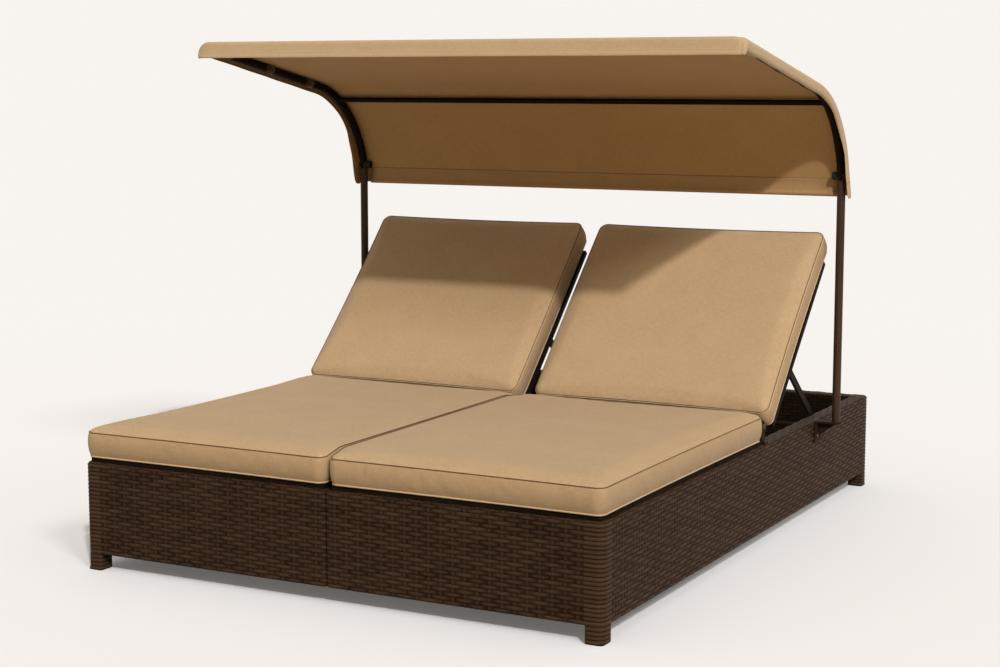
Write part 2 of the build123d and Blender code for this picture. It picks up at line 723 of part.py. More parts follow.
# Pole feet: a plate bolted to the side wall, a gusseted shelf and a spigot that the pole slips over
for hand, side in hands:
    with BuildPart() as pole_foot:
        bar_between((half_width, pole_y - foot_plate_width / 2, base_top - foot_plate_height),
                    (half_width + foot_plate_thickness, pole_y + foot_plate_width / 2, base_top))
        with BuildSketch(Plane.XY.offset(base_top - shelf_thickness)):
            with Locations((half_width, pole_y)):
                Rectangle(pole_offset, 2 * shelf_half_width, align=(Align.MIN, Align.CENTER))
            with Locations((pole_x, pole_y)):
                Circle(shelf_half_width)
        extrude(amount=shelf_thickness)
        with BuildSketch(Plane(origin=(0, pole_y + gusset_thickness / 2, 0), x_dir=(1, 0, 0),
                               z_dir=(0, -1, 0))):
            with BuildLine():
                Polyline((half_width, base_top - shelf_thickness), (pole_x, base_top - shelf_thickness),
                         (half_width + foot_plate_thickness, base_top - shelf_thickness - gusset_height),
                         (half_width, base_top - shelf_thickness - gusset_height),
                         (half_width, base_top - shelf_thickness))
            make_face()
        extrude(amount=gusset_thickness)
        with BuildSketch(Plane.XY.offset(base_top)):
            with Locations((pole_x, pole_y)):
                Circle(spigot_radius)
        extrude(amount=spigot_length)
        for y in foot_bolt_places:
            drill((half_width + foot_plate_thickness, y, foot_bolt_height), (1, 0, 0),
                  bolt_shank + drill_clearance, foot_plate_thickness)
        drill((pole_x, pole_y + spigot_radius, base_top + set_screw_height), (0, 1, 0),
              screw_shank + drill_clearance, spigot_radius)
        to_hand(side)
    pole_foot.part.label = f"{hand}_pole_foot"
    export_step(pole_foot.part, f"parts/{hand}_pole_foot.step")
with BuildPart() as pole_foot_bolts:
    for side in (-1, 1):
        for y in foot_bolt_places:
            screw((side * (half_width + foot_plate_thickness), y, foot_bolt_height), (side, 0, 0),
                  bolt_shank, foot_plate_thickness + weave + screw_bite, bolt_head, bolt_head_height)
finish(pole_foot_bolts, "pole_foot_bolts")
with BuildPart() as pole_set_screws:
    for side in (-1, 1):
        screw((side * pole_x, pole_y + pole_radius, base_top + set_screw_height), (0, 1, 0),
              screw_shank, pole_radius, screw_head, screw_head_height)
finish(pole_set_screws, "pole_set_screws")

# Poles: plain tubes from the shelf to the fork
for hand, side in hands:
    with BuildPart() as pole:
        with BuildSketch(Plane.XY.offset(pole_base)):
            with Locations((pole_x, pole_y)):
                Circle(pole_radius)
                Circle(pole_radius - tube_wall, mode=Mode.SUBTRACT)
        extrude(amount=pole_top - pole_base)
        drill((pole_x, pole_y + pole_radius, base_top + set_screw_height), (0, 1, 0),
              screw_shank + drill_clearance, pole_radius)
        to_hand(side)
    pole.part.label = f"{hand}_pole"
    export_step(pole.part, f"parts/{hand}_pole.step")

# Pole heads: a plug in the tube, a collar and two ears with the pivot's hole
for hand, side in hands:
    with BuildPart() as pole_head:
        with BuildSketch(Plane.XY.offset(pole_top)):
            with Locations((pole_x, pole_y)):
                Circle(pole_radius)
        extrude(amount=head_collar)
        with BuildSketch(Plane.XY.offset(pole_top)):
            with Locations((pole_x, pole_y)):
                Circle(spigot_radius)
        extrude(amount=-head_plug_length)
        for ear_x in (pole_x - tang_half - ear_clearance - ear_thickness,
                      pole_x + tang_half + ear_clearance):
            with BuildSketch(side_plane(ear_x)):
                with Locations((pole_y, pivot_height)):
                    Circle(ear_radius)
                with Locations((pole_y, pole_top + head_collar / 2)):
                    Rectangle(2 * ear_radius, pivot_height - pole_top - head_collar / 2,
                              align=(Align.CENTER, Align.MIN))
                with Locations((pole_y, pivot_height)):
                    Circle(bolt_shank + drill_clearance, mode=Mode.SUBTRACT)
            extrude(amount=ear_thickness)
        with BuildSketch(Plane.XY.offset(pole_top - head_plug_length)):
            with Locations((pole_x, pole_y)):
                Circle(pole_radius)
        extrude(amount=pivot_height + ear_radius - pole_top + head_plug_length, mode=Mode.INTERSECT)
        to_hand(side)
    pole_head.part.label = f"{hand}_pole_head"
    export_step(pole_head.part, f"parts/{hand}_pole_head.step")

# Pivot bolts and the clamp knobs on their inner ends
knob_face = pole_x - tang_half - ear_clearance - ear_thickness
bolt_face = pole_x + tang_half + ear_clearance + ear_thickness
with BuildPart() as pivot_bolts:
    for side in (-1, 1):
        screw((side * bolt_face, pole_y, pivot_height), (side, 0, 0), bolt_shank,
              bolt_face - knob_face + knob_length - bolt_end_gap, bolt_head, bolt_head_height)
finish(pivot_bolts, "pivot_bolts")
for hand, side in hands:
    with BuildPart() as clamp_knob:
        knob_plane = Plane(origin=(knob_face - ear_clearance, pole_y, pivot_height), z_dir=(-1, 0, 0))
        with BuildSketch(knob_plane):
            Circle(knob_radius)
            with PolarLocations(knob_radius + knob_scallop / 2, knob_lobes):
                Circle(knob_scallop, mode=Mode.SUBTRACT)
        extrude(amount=knob_length)
        fillet(clamp_knob.faces().sort_by(Axis.X)[0].edges(), radius=knob_edge)
        drill((knob_face - ear_clearance, pole_y, pivot_height), (1, 0, 0),
              bolt_shank + drill_clearance, knob_length - bolt_end_gap / 2)
        to_hand(side)
    clamp_knob.part.label = f"{hand}_clamp_knob"
    export_step(clamp_knob.part, f"parts/{hand}_clamp_knob.step")


def arm_path(x):
    """The centre line of an arm's tube, from the lower end of its bend to its front end."""
    places = (along_bend(end_slope, 0), along_bend((end_slope + front_slope) / 2, 0),
              along_bend(front_slope, 0), along_front(arm_front_length + front_bar_radius, 0))
    with BuildLine() as path:
        points = [(x, y, z) for y, z in places]
        ThreePointArc(points[0], points[1], points[2])
        Line(points[2], points[3])
    return path.line


def arm_tube(x, radius, mode=Mode.ADD):
    """A round bar along the arm's bend and its straight front stretch."""
    start = along_bend(end_slope, 0)
    across = Plane(origin=(x, *start), x_dir=(1, 0, 0),
                   z_dir=(0, -math.cos(end_slope), math.sin(end_slope)))
    with BuildSketch(across) as ring:
        Circle(radius)
    sweep(ring.sketch, path=arm_path(x), mode=mode)


# Canopy arms: bent tubes with a flat tang at the pivot
front_end = along_front(arm_front_length + front_bar_radius, 0)
for hand, side in hands:
    with BuildPart() as canopy_arm:
        arm_tube(pole_x, arm_radius)
        arm_tube(pole_x, arm_radius - tube_wall, Mode.SUBTRACT)
        start = along_bend(end_slope, 0)
        across = Plane(origin=(pole_x, *start), x_dir=(1, 0, 0),
                       z_dir=(0, -math.cos(end_slope), math.sin(end_slope)))
        with BuildSketch(across):
            Circle(arm_radius)
        extrude(amount=-(arm_tail - ear_radius - tang_gap))
        with BuildSketch(side_plane(pole_x - tang_half)):
            with Locations((pole_y, pivot_height)):
                Circle(ear_radius)
            with Locations(Location(((pole_y + start[0]) / 2, (pivot_height + start[1]) / 2),
                                    180 - arm_end_slope)):
                Rectangle(arm_tail, 2 * ear_radius)
            with Locations((pole_y, pivot_height)):
                Circle(bolt_shank + drill_clearance, mode=Mode.SUBTRACT)
        extrude(amount=2 * tang_half)
        for place in (front_bar, middle_bar):
            drill((pole_x + arm_radius, *place), (1, 0, 0), screw_shank + drill_clearance,
                  2 * arm_radius)
        to_hand(side)
    canopy_arm.part.label = f"{hand}_canopy_arm"
    export_step(canopy_arm.part, f"parts/{hand}_canopy_arm.step")

# Crossbars, coped to the arms, and the rod in the rear hem of the fabric
for name, place, radius in (("front_crossbar", front_bar, front_bar_radius),
                            ("middle_crossbar", middle_bar, middle_bar_radius)):
    with BuildPart() as crossbar:
        with BuildSketch(side_plane(-pole_x)):
            with Locations(place):
                Circle(radius)
        extrude(amount=2 * pole_x)
        for side in (-1, 1):
            arm_tube(side * pole_x, arm_radius, Mode.SUBTRACT)
            drill((side * pole_x, *place), (side, 0, 0), screw_shank + drill_clearance,
                  arm_radius + screw_bite)
    crossbar.part.label = name
    export_step(crossbar.part, f"parts/{name}.step")
with BuildPart() as rear_hem_rod:
    with BuildSketch(side_plane(-hem_rod_end)):
        with Locations(hem_rod):
            Circle(hem_rod_radius)
    extrude(amount=2 * hem_rod_end)
finish(rear_hem_rod, "rear_hem_rod")
with BuildPart() as crossbar_screws:
    for side in (-1, 1):
        for place in (front_bar, middle_bar):
            screw((side * (pole_x + arm_radius), *place), (side, 0, 0), screw_shank,
                  2 * arm_radius + screw_bite - fit, screw_head, screw_head_height)
finish(crossbar_screws, "crossbar_screws")

# Plastic caps in the front ends of the arms
with BuildPart() as arm_end_caps:
    for side in (-1, 1):
        cap_plane = Plane(origin=(side * pole_x, *front_end), x_dir=(1, 0, 0),
                          z_dir=(0, -math.cos(front_slope), math.sin(front_slope)))
        with BuildSketch(cap_plane):
            Circle(arm_radius)
        extrude(amount=end_cap_height)
        with BuildSketch(cap_plane):
            Circle(arm_radius - tube_wall - end_cap_fit)
        extrude(amount=-(front_bar_radius - screw_shank) + end_cap_fit)
finish(arm_end_caps, "arm_end_caps")


def canopy_profile(plane, offset, drop, front_reach, low):
    """The canopy's side view, from the front flap over the bend and down to the rear hem."""
    with BuildSketch(plane) as profile:
        with BuildLine():
            top = [along_front(arm_front_length + front_reach, offset),
                   along_bend(front_slope, offset),
                   along_bend((front_slope + end_slope) / 2, offset),
                   along_bend(end_slope, offset)]
            hem = (top[3][0] + rear_drop * math.cos(end_slope),
                   top[3][1] - rear_drop * math.sin(end_slope))
            under = [along_bend(end_slope, -drop), along_bend((front_slope + end_slope) / 2, -drop),
                     along_bend(front_slope, -drop),
                     along_front(arm_front_length + front_reach, -drop)]
            hem_inner = (under[0][0] + rear_drop * math.cos(end_slope),
                         under[0][1] - rear_drop * math.sin(end_slope))
            if low:
                hem = (hem[0] + low * math.cos(end_slope), hem[1] - low * math.sin(end_slope))
                hem_inner = (hem_inner[0] + low * math.cos(end_slope),
                             hem_inner[1] - low * math.sin(end_slope))
            Line(top[0], top[1])
            ThreePointArc(top[1], top[2], top[3])
            Line(top[3], hem)
            Line(hem, hem_inner)
            Line(hem_inner, under[0])
            ThreePointArc(under[0], under[1], under[2])
            Line(under[2], under[3])
            Line(under[3], top[0])
        make_face()
    return profile.sketch


def canopy_block(half_span, offset, drop, front_reach, low, side_radius, front_radius):
    """The canopy's outer or inner form: its side view across the width, with rounded top edges."""
    with BuildPart(mode=Mode.PRIVATE) as block:
        extrude(canopy_profile(side_plane(-half_span), offset, drop, front_reach, low),
                amount=2 * half_span)
        rear_y, rear_z = along_bend(end_slope, offset)
        along_top = (along_front((arm_front_length + front_reach) / 2, offset),
                     along_bend((front_slope + end_slope) / 2, offset),
                     (rear_y + rear_drop / 2 * math.cos(end_slope),
                      rear_z - rear_drop / 2 * math.sin(end_slope)))
        top_edges = [block.edges().sort_by_distance((side * half_span, y, z))[0]
                     for side in (-1, 1) for y, z in along_top]
        fillet(top_edges, radius=side_radius)
        corner = (0, *along_front(arm_front_length + front_reach, offset))
        front_edge = block.edges().sort_by_distance(corner)[0]
        fillet(front_edge, radius=front_radius)
    return block.part


canopy_half = pole_x + canopy_overhang
with BuildPart() as canopy_fabric:
    add(canopy_block(canopy_half, fabric_offset, flap_drop, front_overhang, 0,
                     fabric_side_radius, fabric_front_radius))
    add(canopy_block(canopy_half - fabric, fabric_offset - fabric, flap_drop + cut_overrun,
                     front_overhang - fabric, cut_overrun, fabric_side_radius - fabric,
                     fabric_front_radius - fabric), mode=Mode.SUBTRACT)
    for side in (-1, 1):
        for share in loop_shares:
            place = along_front(arm_front_length * share, 0)
            with BuildSketch(Plane(origin=(side * pole_x, *place), x_dir=(1, 0, 0),
                                   z_dir=(0, -math.cos(front_slope), math.sin(front_slope)))):
                Circle(arm_radius + loop_thickness)
                Circle(arm_radius, mode=Mode.SUBTRACT)
            extrude(amount=loop_width / 2, both=True)
    with BuildSketch(side_plane(-hem_rod_end - sleeve_end)):
        with Locations(hem_rod):
            Circle(sleeve_radius)
    extrude(amount=2 * (hem_rod_end + sleeve_end))
    with BuildSketch(side_plane(-hem_rod_end)):
        with Locations(hem_rod):
            Circle(hem_rod_radius)
    extrude(amount=2 * hem_rod_end, mode=Mode.SUBTRACT)
finish(canopy_fabric, "canopy_fabric")
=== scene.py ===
import math

import bpy
import numpy as np
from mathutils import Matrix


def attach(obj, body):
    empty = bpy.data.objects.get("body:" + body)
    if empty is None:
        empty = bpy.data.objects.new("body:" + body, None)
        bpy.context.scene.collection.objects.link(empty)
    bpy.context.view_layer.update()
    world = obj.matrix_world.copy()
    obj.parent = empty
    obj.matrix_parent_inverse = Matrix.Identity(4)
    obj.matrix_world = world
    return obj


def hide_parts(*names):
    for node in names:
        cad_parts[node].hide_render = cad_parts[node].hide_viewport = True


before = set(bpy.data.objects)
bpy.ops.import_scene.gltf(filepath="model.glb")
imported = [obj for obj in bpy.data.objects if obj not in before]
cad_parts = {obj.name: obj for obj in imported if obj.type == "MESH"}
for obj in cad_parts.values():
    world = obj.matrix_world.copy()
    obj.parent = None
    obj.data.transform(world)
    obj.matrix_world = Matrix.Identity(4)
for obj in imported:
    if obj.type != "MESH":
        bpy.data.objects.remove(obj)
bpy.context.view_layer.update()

# Room: a plain pale floor that runs into the background, a key light from the front right, a weaker
# and softer one beside it, and even light from all round. Only the lounger's soft shadow shows.
backdrop = (0.935, 0.900, 0.866, 1)
floor_width, floor_start, floor_end, floor_lift = 80, 2.6, 6.0, 0.12
low_light, high_light, right_light = 0.39, 0.17, 0.03


def put(tree, kind, inputs=None, **settings):
    """Adds one shader node. settings are its properties, inputs its sockets' values or feeds."""
    made = tree.nodes.new(kind)
    for name, value in settings.items():
        setattr(made, name, value)
    for socket, value in (inputs or {}).items():
        if isinstance(value, bpy.types.NodeSocket):
            tree.links.new(value, made.inputs[socket])
        else:
            made.inputs[socket].default_value = value
    return made


def calc(operation, *values):
    """The result of one Math node on numbers and sockets, in the tree that the sockets are in."""
    tree = next(value.id_data for value in values if isinstance(value, bpy.types.NodeSocket))
    return put(tree, "ShaderNodeMath", dict(enumerate(values)), operation=operation).outputs[0]


def times(first, second):
    """The product of two numbers or sockets."""
    return calc("MULTIPLY", first, second)


def ramp(value, low, high, to_low=0.0, to_high=1.0):
    """A smooth step of a socket's value between two of its levels."""
    levels = {"Value": value, "From Min": low, "From Max": high, "To Min": to_low,
              "To Max": to_high}
    return put(value.id_data, "ShaderNodeMapRange", levels,
               interpolation_type="SMOOTHSTEP").outputs[0]


def blend_colours(share, first, second, blend="MIX"):
    """Two colours mixed by a share, which is a socket."""
    return put(share.id_data, "ShaderNodeMix", {0: share, 6: first, 7: second},
               data_type="RGBA", blend_type=blend).outputs[2]


def new_finish(name):
    """An empty node material and its tree."""
    finish = bpy.data.materials.new(name)
    finish.use_nodes = True
    finish.node_tree.nodes.clear()
    return finish, finish.node_tree


def seen_directly(tree):
    """1 on rays from the camera, off a gloss or through glass, and 0 on the rest."""
    rays = put(tree, "ShaderNodeLightPath").outputs
    return calc("MAXIMUM", calc("MAXIMUM", rays["Is Camera Ray"], rays["Is Glossy Ray"]),
                rays["Is Transmission Ray"])


floor_finish, tree = new_finish("studio_floor")
seen = seen_directly(tree)
place = put(tree, "ShaderNodeTexCoord").outputs["Object"]
away = put(tree, "ShaderNodeVectorMath", {0: place}, operation="LENGTH").outputs["Value"]
far = ramp(away, floor_start, floor_end)
open_light = put(tree, "ShaderNodeBsdfDiffuse", {"Color": (0.812, 0.800, 0.822, 1)})
lift_light = put(tree, "ShaderNodeEmission", {"Color": backdrop, "Strength": floor_lift})
near_floor = put(tree, "ShaderNodeAddShader", {0: open_light.outputs[0], 1: lift_light.outputs[0]})
far_floor = put(tree, "ShaderNodeEmission", {"Color": backdrop, "Strength": 1.0})
shown = put(tree, "ShaderNodeMixShader", {0: far, 1: near_floor.outputs[0],
                                          2: far_floor.outputs[0]})
bounce = put(tree, "ShaderNodeBsdfDiffuse", {"Color": (0.45, 0.41, 0.335, 1)})
both = put(tree, "ShaderNodeMixShader", {0: seen, 1: bounce.outputs[0], 2: shown.outputs[0]})
put(tree, "ShaderNodeOutputMaterial", {"Surface": both.outputs[0]})

bpy.ops.mesh.primitive_plane_add(size=floor_width)
floor = bpy.context.object
floor.name = "studio_floor"
floor.data.materials.append(floor_finish)

world = bpy.data.worlds.new("studio_air")
bpy.context.scene.world = world
world.use_nodes = True
tree = world.node_tree
tree.nodes.clear()
seen = seen_directly(tree)
way = put(tree, "ShaderNodeTexCoord").outputs["Generated"]
way = put(tree, "ShaderNodeSeparateXYZ", {0: way}).outputs
upward = times(calc("MAXIMUM", way[2], 0.0), high_light)
level = calc("ADD", calc("ADD", low_light, upward), times(way[0], right_light))
air = put(tree, "ShaderNodeBackground", {"Color": (1.0, 0.945, 0.82, 1), "Strength": level})
sky = put(tree, "ShaderNodeBackground", {"Color": backdrop, "Strength": 1.0})
both = put(tree, "ShaderNodeMixShader", {0: seen, 1: air.outputs[0], 2: sky.outputs[0]})
put(tree, "ShaderNodeOutputWorld", {"Surface": both.outputs[0]})

for name, energy, colour, spread, (right, ahead, up) in (
        ("key_light", 1.82, (1.0, 0.995, 0.985), 2.2, (0.541, 0.592, 0.598)),
        ("side_light", 0.9, (1.0, 0.98, 0.95), 11, (0.665, 0.445, 0.600))):
    lamp = bpy.data.objects.new(name, bpy.data.lights.new(name, "SUN"))
    lamp.data.energy, lamp.data.color, lamp.data.angle = energy, colour, math.radians(spread)
    lamp.rotation_euler = (math.atan2(math.hypot(right, ahead), up), 0, math.atan2(right, ahead))
    bpy.context.scene.collection.objects.link(lamp)
bpy.context.scene.view_settings.view_transform = "Standard"

camera = bpy.data.objects.new("camera", bpy.data.cameras.new("camera"))
camera.data.sensor_width, camera.data.lens, camera.data.clip_end = 36, 68.7, 200
camera.location = (2.516, -4.833, 1.285)
camera.rotation_euler = (math.radians(90 - 7.62), 0, math.radians(27.92))
bpy.context.scene.collection.objects.link(camera)
bpy.context.scene.camera = camera

# Wicker walls: flat brown resin strands woven in and out of upright stakes round each half's frame,
# up the outside, over the top and down inside, and turned under the bottom rail. The strands are
# hand woven as one skin, and the outer legs are wrapped in the same strands.
half_width, half_length, seam = 0.750, 1.000, 0.001
wall_depth, wall_low, wall_top, wall_turn = 0.048, 0.0452, 0.288, 0.006
seam_turn, corner_turn, inner_turn = 0.006, 0.022, 0.003
stake_pitch, row_pitch, inner_shade_rows = 0.033, 0.01045, (26.5, 28.5)
leg_low, leg_high, leg_skin, leg_turn, leg_edge = 0.0015, 0.047, 0.0018, 0.005, 0.0006
post_x, post_y, post_edge = 0.7015, 0.9515, 0.0005
strand_dip, strand_edge, stake_reach = 0.0013, 0.0012, 0.13


def run_lengths(points):
    """Distances along a line of points from its first one."""
    return np.concatenate([[0], np.cumsum(np.linalg.norm(np.diff(points, axis=0), axis=1))])


def together(*parts):
    """Arrays spread over each other and put side by side along a new last axis."""
    return np.stack(np.broadcast_arrays(*parts), axis=-1)


def turned_path(corners, radii):
    """Straight runs joined by left quarter turns, as (lengths, points, outward directions). A turn
    is its centre plus its radius times (cos a, sin a), where a goes from one run's outward
    direction to the next one's."""
    corners = np.array(corners, float)
    runs = np.diff(corners, axis=0)
    along = runs / np.linalg.norm(runs, axis=1)[:, None]
    outward = together(along[:, 1], -along[:, 0])
    points, directions = [corners[:1]], [outward[:1]]
    for place, radius in enumerate(radii):
        start = math.atan2(outward[place, 1], outward[place, 0])
        turn = start + np.linspace(0, math.pi / 2, 9)
        ring = together(np.cos(turn), np.sin(turn))
        points.append(corners[place + 1] + radius * (along[place + 1] - along[place] + ring))
        directions.append(ring)
    points = np.concatenate(points + [corners[-1:]])
    return run_lengths(points), points, np.concatenate(directions + [outward[-1:]])


def along_path(path, places):
    """Points and outward directions of a path at given lengths, by straight interpolation."""
    spots, facing = (together(*(np.interp(places, path[0], part[:, side]) for side in (0, 1)))
                     for part in path[1:])
    return spots, facing / np.linalg.norm(facing, axis=1)[:, None]


def weave_relief(along, across, wrapped):
    """Depth below the strands' crests. A strand is dip * (cos(pi * (along + row)) - 1) / 2 minus
    edge * |2 * fraction(across) - 1| ** 4, a stake is a flat bar at whole numbers of along, and
    the higher of the two shows. A strand wrapped round a corner post doesn't dip."""
    row = np.floor(across + 1e-6)
    side = np.abs(2 * (across - row) - 1)
    strand = strand_dip * (np.cos(np.pi * (along + row)) - 1) / 2 - strand_edge * side ** 4
    beside = np.abs(along - np.round(along))
    stake = np.where(beside < stake_reach, -0.45, -1.6) * strand_dip - strand_edge * 0.15
    return np.where(wrapped, -strand_edge * side ** 4, np.maximum(strand, stake))


def grid_faces(count_along, count_across, wrap_along, wrap_across, first=0):
    """Quads of an (along, across) grid of vertices, and the grid places of their corners."""
    i, j = np.meshgrid(np.arange(count_along if wrap_along else count_along - 1),
                       np.arange(count_across if wrap_across else count_across - 1), indexing="ij")
    ring = [(i, j), (i + 1, j), (i + 1, j + 1), (i, j + 1)]
    faces = np.stack([a % count_along * count_across + b % count_across for a, b in ring], axis=-1)
    corners = np.stack([np.stack([a, b], axis=-1) for a, b in ring], axis=-2)
    return faces.reshape(-1, 4) + first, corners.reshape(-1, 4, 2)


def new_piece(name, points, faces, uvs, finish, layer):
    """A smooth mesh with one layer of surface coordinates and one finish, linked to the scene."""
    mesh = bpy.data.meshes.new(name)
    mesh.from_pydata(points.tolist(), [], faces)
    mesh.uv_layers.new(name=layer).data.foreach_set("uv", uvs.ravel())
    mesh.polygons.foreach_set("use_smooth", np.full(len(mesh.polygons), True))
    mesh.materials.append(finish)
    mesh.update()
    piece = bpy.data.objects.new(name, mesh)
    bpy.context.scene.collection.objects.link(piece)
    return piece


def surface(name, grids, finish, hand=1, layer="cloth"):
    """One named mesh of several grids, each (points, coordinates, wrap along, wrap across), where
    coordinates has one more row or column than points on a side that wraps. hand -1 is the
    mirror image, with its faces turned outwards again. Open ends of a wrapped grid are closed."""
    points, faces, uvs, first = [], [], [], 0
    for spots, coordinates, wrap_along, wrap_across in grids:
        count_along, count_across = spots.shape[:2]
        quads, corners = grid_faces(count_along, count_across, wrap_along, wrap_across, first)
        faces.extend(quads.tolist())
        uvs.append(coordinates[corners[..., 0], corners[..., 1]].reshape(-1, 2))
        if wrap_across and not wrap_along:
            start = np.arange(count_across)
            faces.append((start + first).tolist())
            faces.append((start[::-1] + first + (count_along - 1) * count_across).tolist())
            uvs.extend([coordinates[0, start], coordinates[-1, start[::-1]]])
        points.append(spots.reshape(-1, 3))
        first += count_along * count_across
    piece = new_piece(name, np.concatenate(points) * (hand, 1, 1), faces, np.concatenate(uvs),
                      finish, layer)
    if hand < 0:
        piece.data.flip_normals()
        piece.data.update()
    return piece


def woven_grid(plan, section, places, rows, wall, depth=1.0):
    """A woven skin: the section, as (outward, height), carried along the plan, and sunk by the
    weave's relief. A point is plan + outward direction * outward, kept within its wall."""
    length = plan[0][-1]
    stakes = round(length / stake_pitch / 2) * 2
    columns = np.linspace(0, length, stakes * 6 + 1)
    spots, facing = along_path(plan, columns)
    profile, out = along_path(section, places)
    along = (columns / length * stakes)[:, None]
    post = (spots[:, 0] > post_x) & (np.abs(spots[:, 1]) > post_y)
    sink = weave_relief(along, rows, post[:, None]) * depth
    reach = profile[None, :, 0] + sink * out[None, :, 0]
    height = profile[None, :, 1] + sink * out[None, :, 1]
    x = spots[:, None, 0] + facing[:, None, 0] * reach
    y = spots[:, None, 1] + facing[:, None, 1] * reach
    if wall:
        short = spots[:, None, 0] + facing[:, None, 0] * np.maximum(reach, -seam_turn)
        x = np.where(facing[:, None, 0] < -1e-6, short, x)
        x = np.minimum(x, half_width + reach)
        y = np.clip(y, -half_length - reach, half_length + reach)
    grid = together(x, y, height)
    if not wall:
        grid = grid[:-1]
    lines = together(along, rows)
    lines = np.concatenate([lines, lines[:, :1] + (0, rows[-1] + 0.5 - rows[0])], axis=1)
    return grid, lines, not wall, True


def ring_rows(section, fine_to):
    """Places along a closed section: thirds of a row where it shows, halves of a row elsewhere."""
    length = section[0][-1]
    count = round(length / row_pitch)
    split = round(fine_to / length * count)
    rows = np.concatenate([np.arange(split * 3) / 3, np.arange(split * 2, count * 2) / 2])
    return rows / count * length, rows


wall_plan = turned_path([(seam, -half_length + wall_depth - inner_turn * 2), (seam, -half_length),
                         (half_width, -half_length), (half_width, half_length),
                         (seam, half_length), (seam, half_length - wall_depth + inner_turn * 2)],
                        (seam_turn, corner_turn, corner_turn, seam_turn))
wall_section = turned_path([(0, wall_low), (0, wall_top), (-wall_depth, wall_top),
                            (-wall_depth, wall_low), (0, wall_low)],
                           (wall_turn, wall_turn, inner_turn))
leg_section = turned_path([(0, leg_low), (0, leg_high), (-leg_skin, leg_high),
                           (-leg_skin, leg_low), (0, leg_low)], (leg_edge,) * 3)


def leg_plan(end):
    """A leg's square outline with its outer corner rounded as the wall's is."""
    low_x, high_x = half_width - wall_depth, half_width
    low_y, high_y = ((-half_length, -half_length + wall_depth) if end < 0
                     else (half_length - wall_depth, half_length))
    middle = (low_x + high_x) / 2
    turns = [leg_turn] * 4
    turns[0 if end < 0 else 1] = corner_turn
    return turned_path([(middle, low_y), (high_x, low_y), (high_x, high_y), (low_x, high_y),
                        (low_x, low_y), (middle, low_y)], turns)


def rest(value):
    """What a number or socket leaves of 1."""
    return calc("SUBTRACT", 1.0, value)


def noise(vector, scale, detail, rough=0.5, flat=False, stretch=None):
    """Noise from about 0 to 1 at a vector, stretched first if asked, and in its plane if flat."""
    tree = vector.id_data
    if stretch:
        vector = put(tree, "ShaderNodeVectorMath", {0: vector, 1: stretch},
                     operation="MULTIPLY").outputs[0]
    return put(tree, "ShaderNodeTexNoise", {"Vector": vector, "Scale": scale, "Detail": detail,
                                            "Roughness": rough},
               noise_dimensions="2D" if flat else "3D").outputs[0]


def new_group(name, **inputs):
    """An empty node group and the sockets at which its named inputs arrive."""
    group = bpy.data.node_groups.new(name, "ShaderNodeTree")
    for label, kind in inputs.items():
        group.interface.new_socket(label, in_out="INPUT", socket_type="NodeSocket" + kind)
    return group, put(group, "NodeGroupInput").outputs


def give(group, **outputs):
    """The node group with named values put out."""
    for label in outputs:
        group.interface.new_socket(label, in_out="OUTPUT", socket_type="NodeSocketFloat")
    put(group, "NodeGroupOutput", outputs)
    return group


def shade_skin(colour, rough, height, strength, distance, sockets, under=None):
    """A material's shader, bumped by a height, over another bump where one is given."""
    tree = colour.id_data
    bumps = put(tree, "ShaderNodeBump", {"Height": height, "Strength": strength,
                                         "Distance": distance})
    if under is not None:
        tree.links.new(under, bumps.inputs["Normal"])
    made = put(tree, "ShaderNodeBsdfPrincipled", {"Base Color": colour, "Roughness": rough,
                                                  "Normal": bumps.outputs[0], **sockets})
    put(tree, "ShaderNodeOutputMaterial", {"Surface": made.outputs[0]})


def strand_weave():
    """Node group of the weave. Along counts stakes and across counts rows. A strand lies over a
    stake where along + row is even, or all along where it is wrapped round a post. It gives each
    strand's tone, the gaps between strands, which the finish darkens as painted shade, the stakes
    that show, streaks along the strands, the height and the strands' crests, which the finish
    lightens as a painted highlight."""
    group, start = new_group("strand_weave", Coordinates="Vector", Wrapped="Float")
    split = put(group, "ShaderNodeSeparateXYZ", {0: start[0]}).outputs
    along, across = split[:2]
    row = calc("FLOOR", across)
    share = calc("SUBTRACT", across, row)
    side = calc("ABSOLUTE", calc("SUBTRACT", times(share, 2.0), 1.0))
    phase = calc("ADD", along, row)
    free = rest(start[1])
    wave = times(calc("COSINE", times(phase, math.pi)), -1.0)
    dip = calc("SUBTRACT", times(wave, free), start[1])
    pair = calc("FLOOR", times(calc("ADD", phase, 1.0), 0.5))
    cell = put(group, "ShaderNodeCombineXYZ", {0: times(free, pair), 1: row})
    tone = put(group, "ShaderNodeTexWhiteNoise", {"Vector": cell.outputs[0]},
               noise_dimensions="2D").outputs["Value"]
    stake = ramp(dip, 0.88, 0.955)
    recess = times(ramp(dip, 0.45, 0.9), rest(stake))
    between = times(ramp(side, 0.72, 0.98), rest(times(stake, 0.35)))
    gap = calc("MAXIMUM", times(recess, 0.42), between)
    streak = noise(start[0], 1.0, 3.0, flat=True, stretch=(1.3, 9.0, 1.0))
    rounded = rest(calc("POWER", side, 5.0))
    sunk = times(rounded, rest(times(recess, 0.8)))
    height = calc("ADD", sunk, times(streak, 0.12))
    crest = times(ramp(dip, 0.7, -0.9), rest(calc("POWER", side, 2.0)))
    return give(group, Tone=tone, Gap=gap, Stake=stake, Streak=streak, Height=height, Crest=crest)


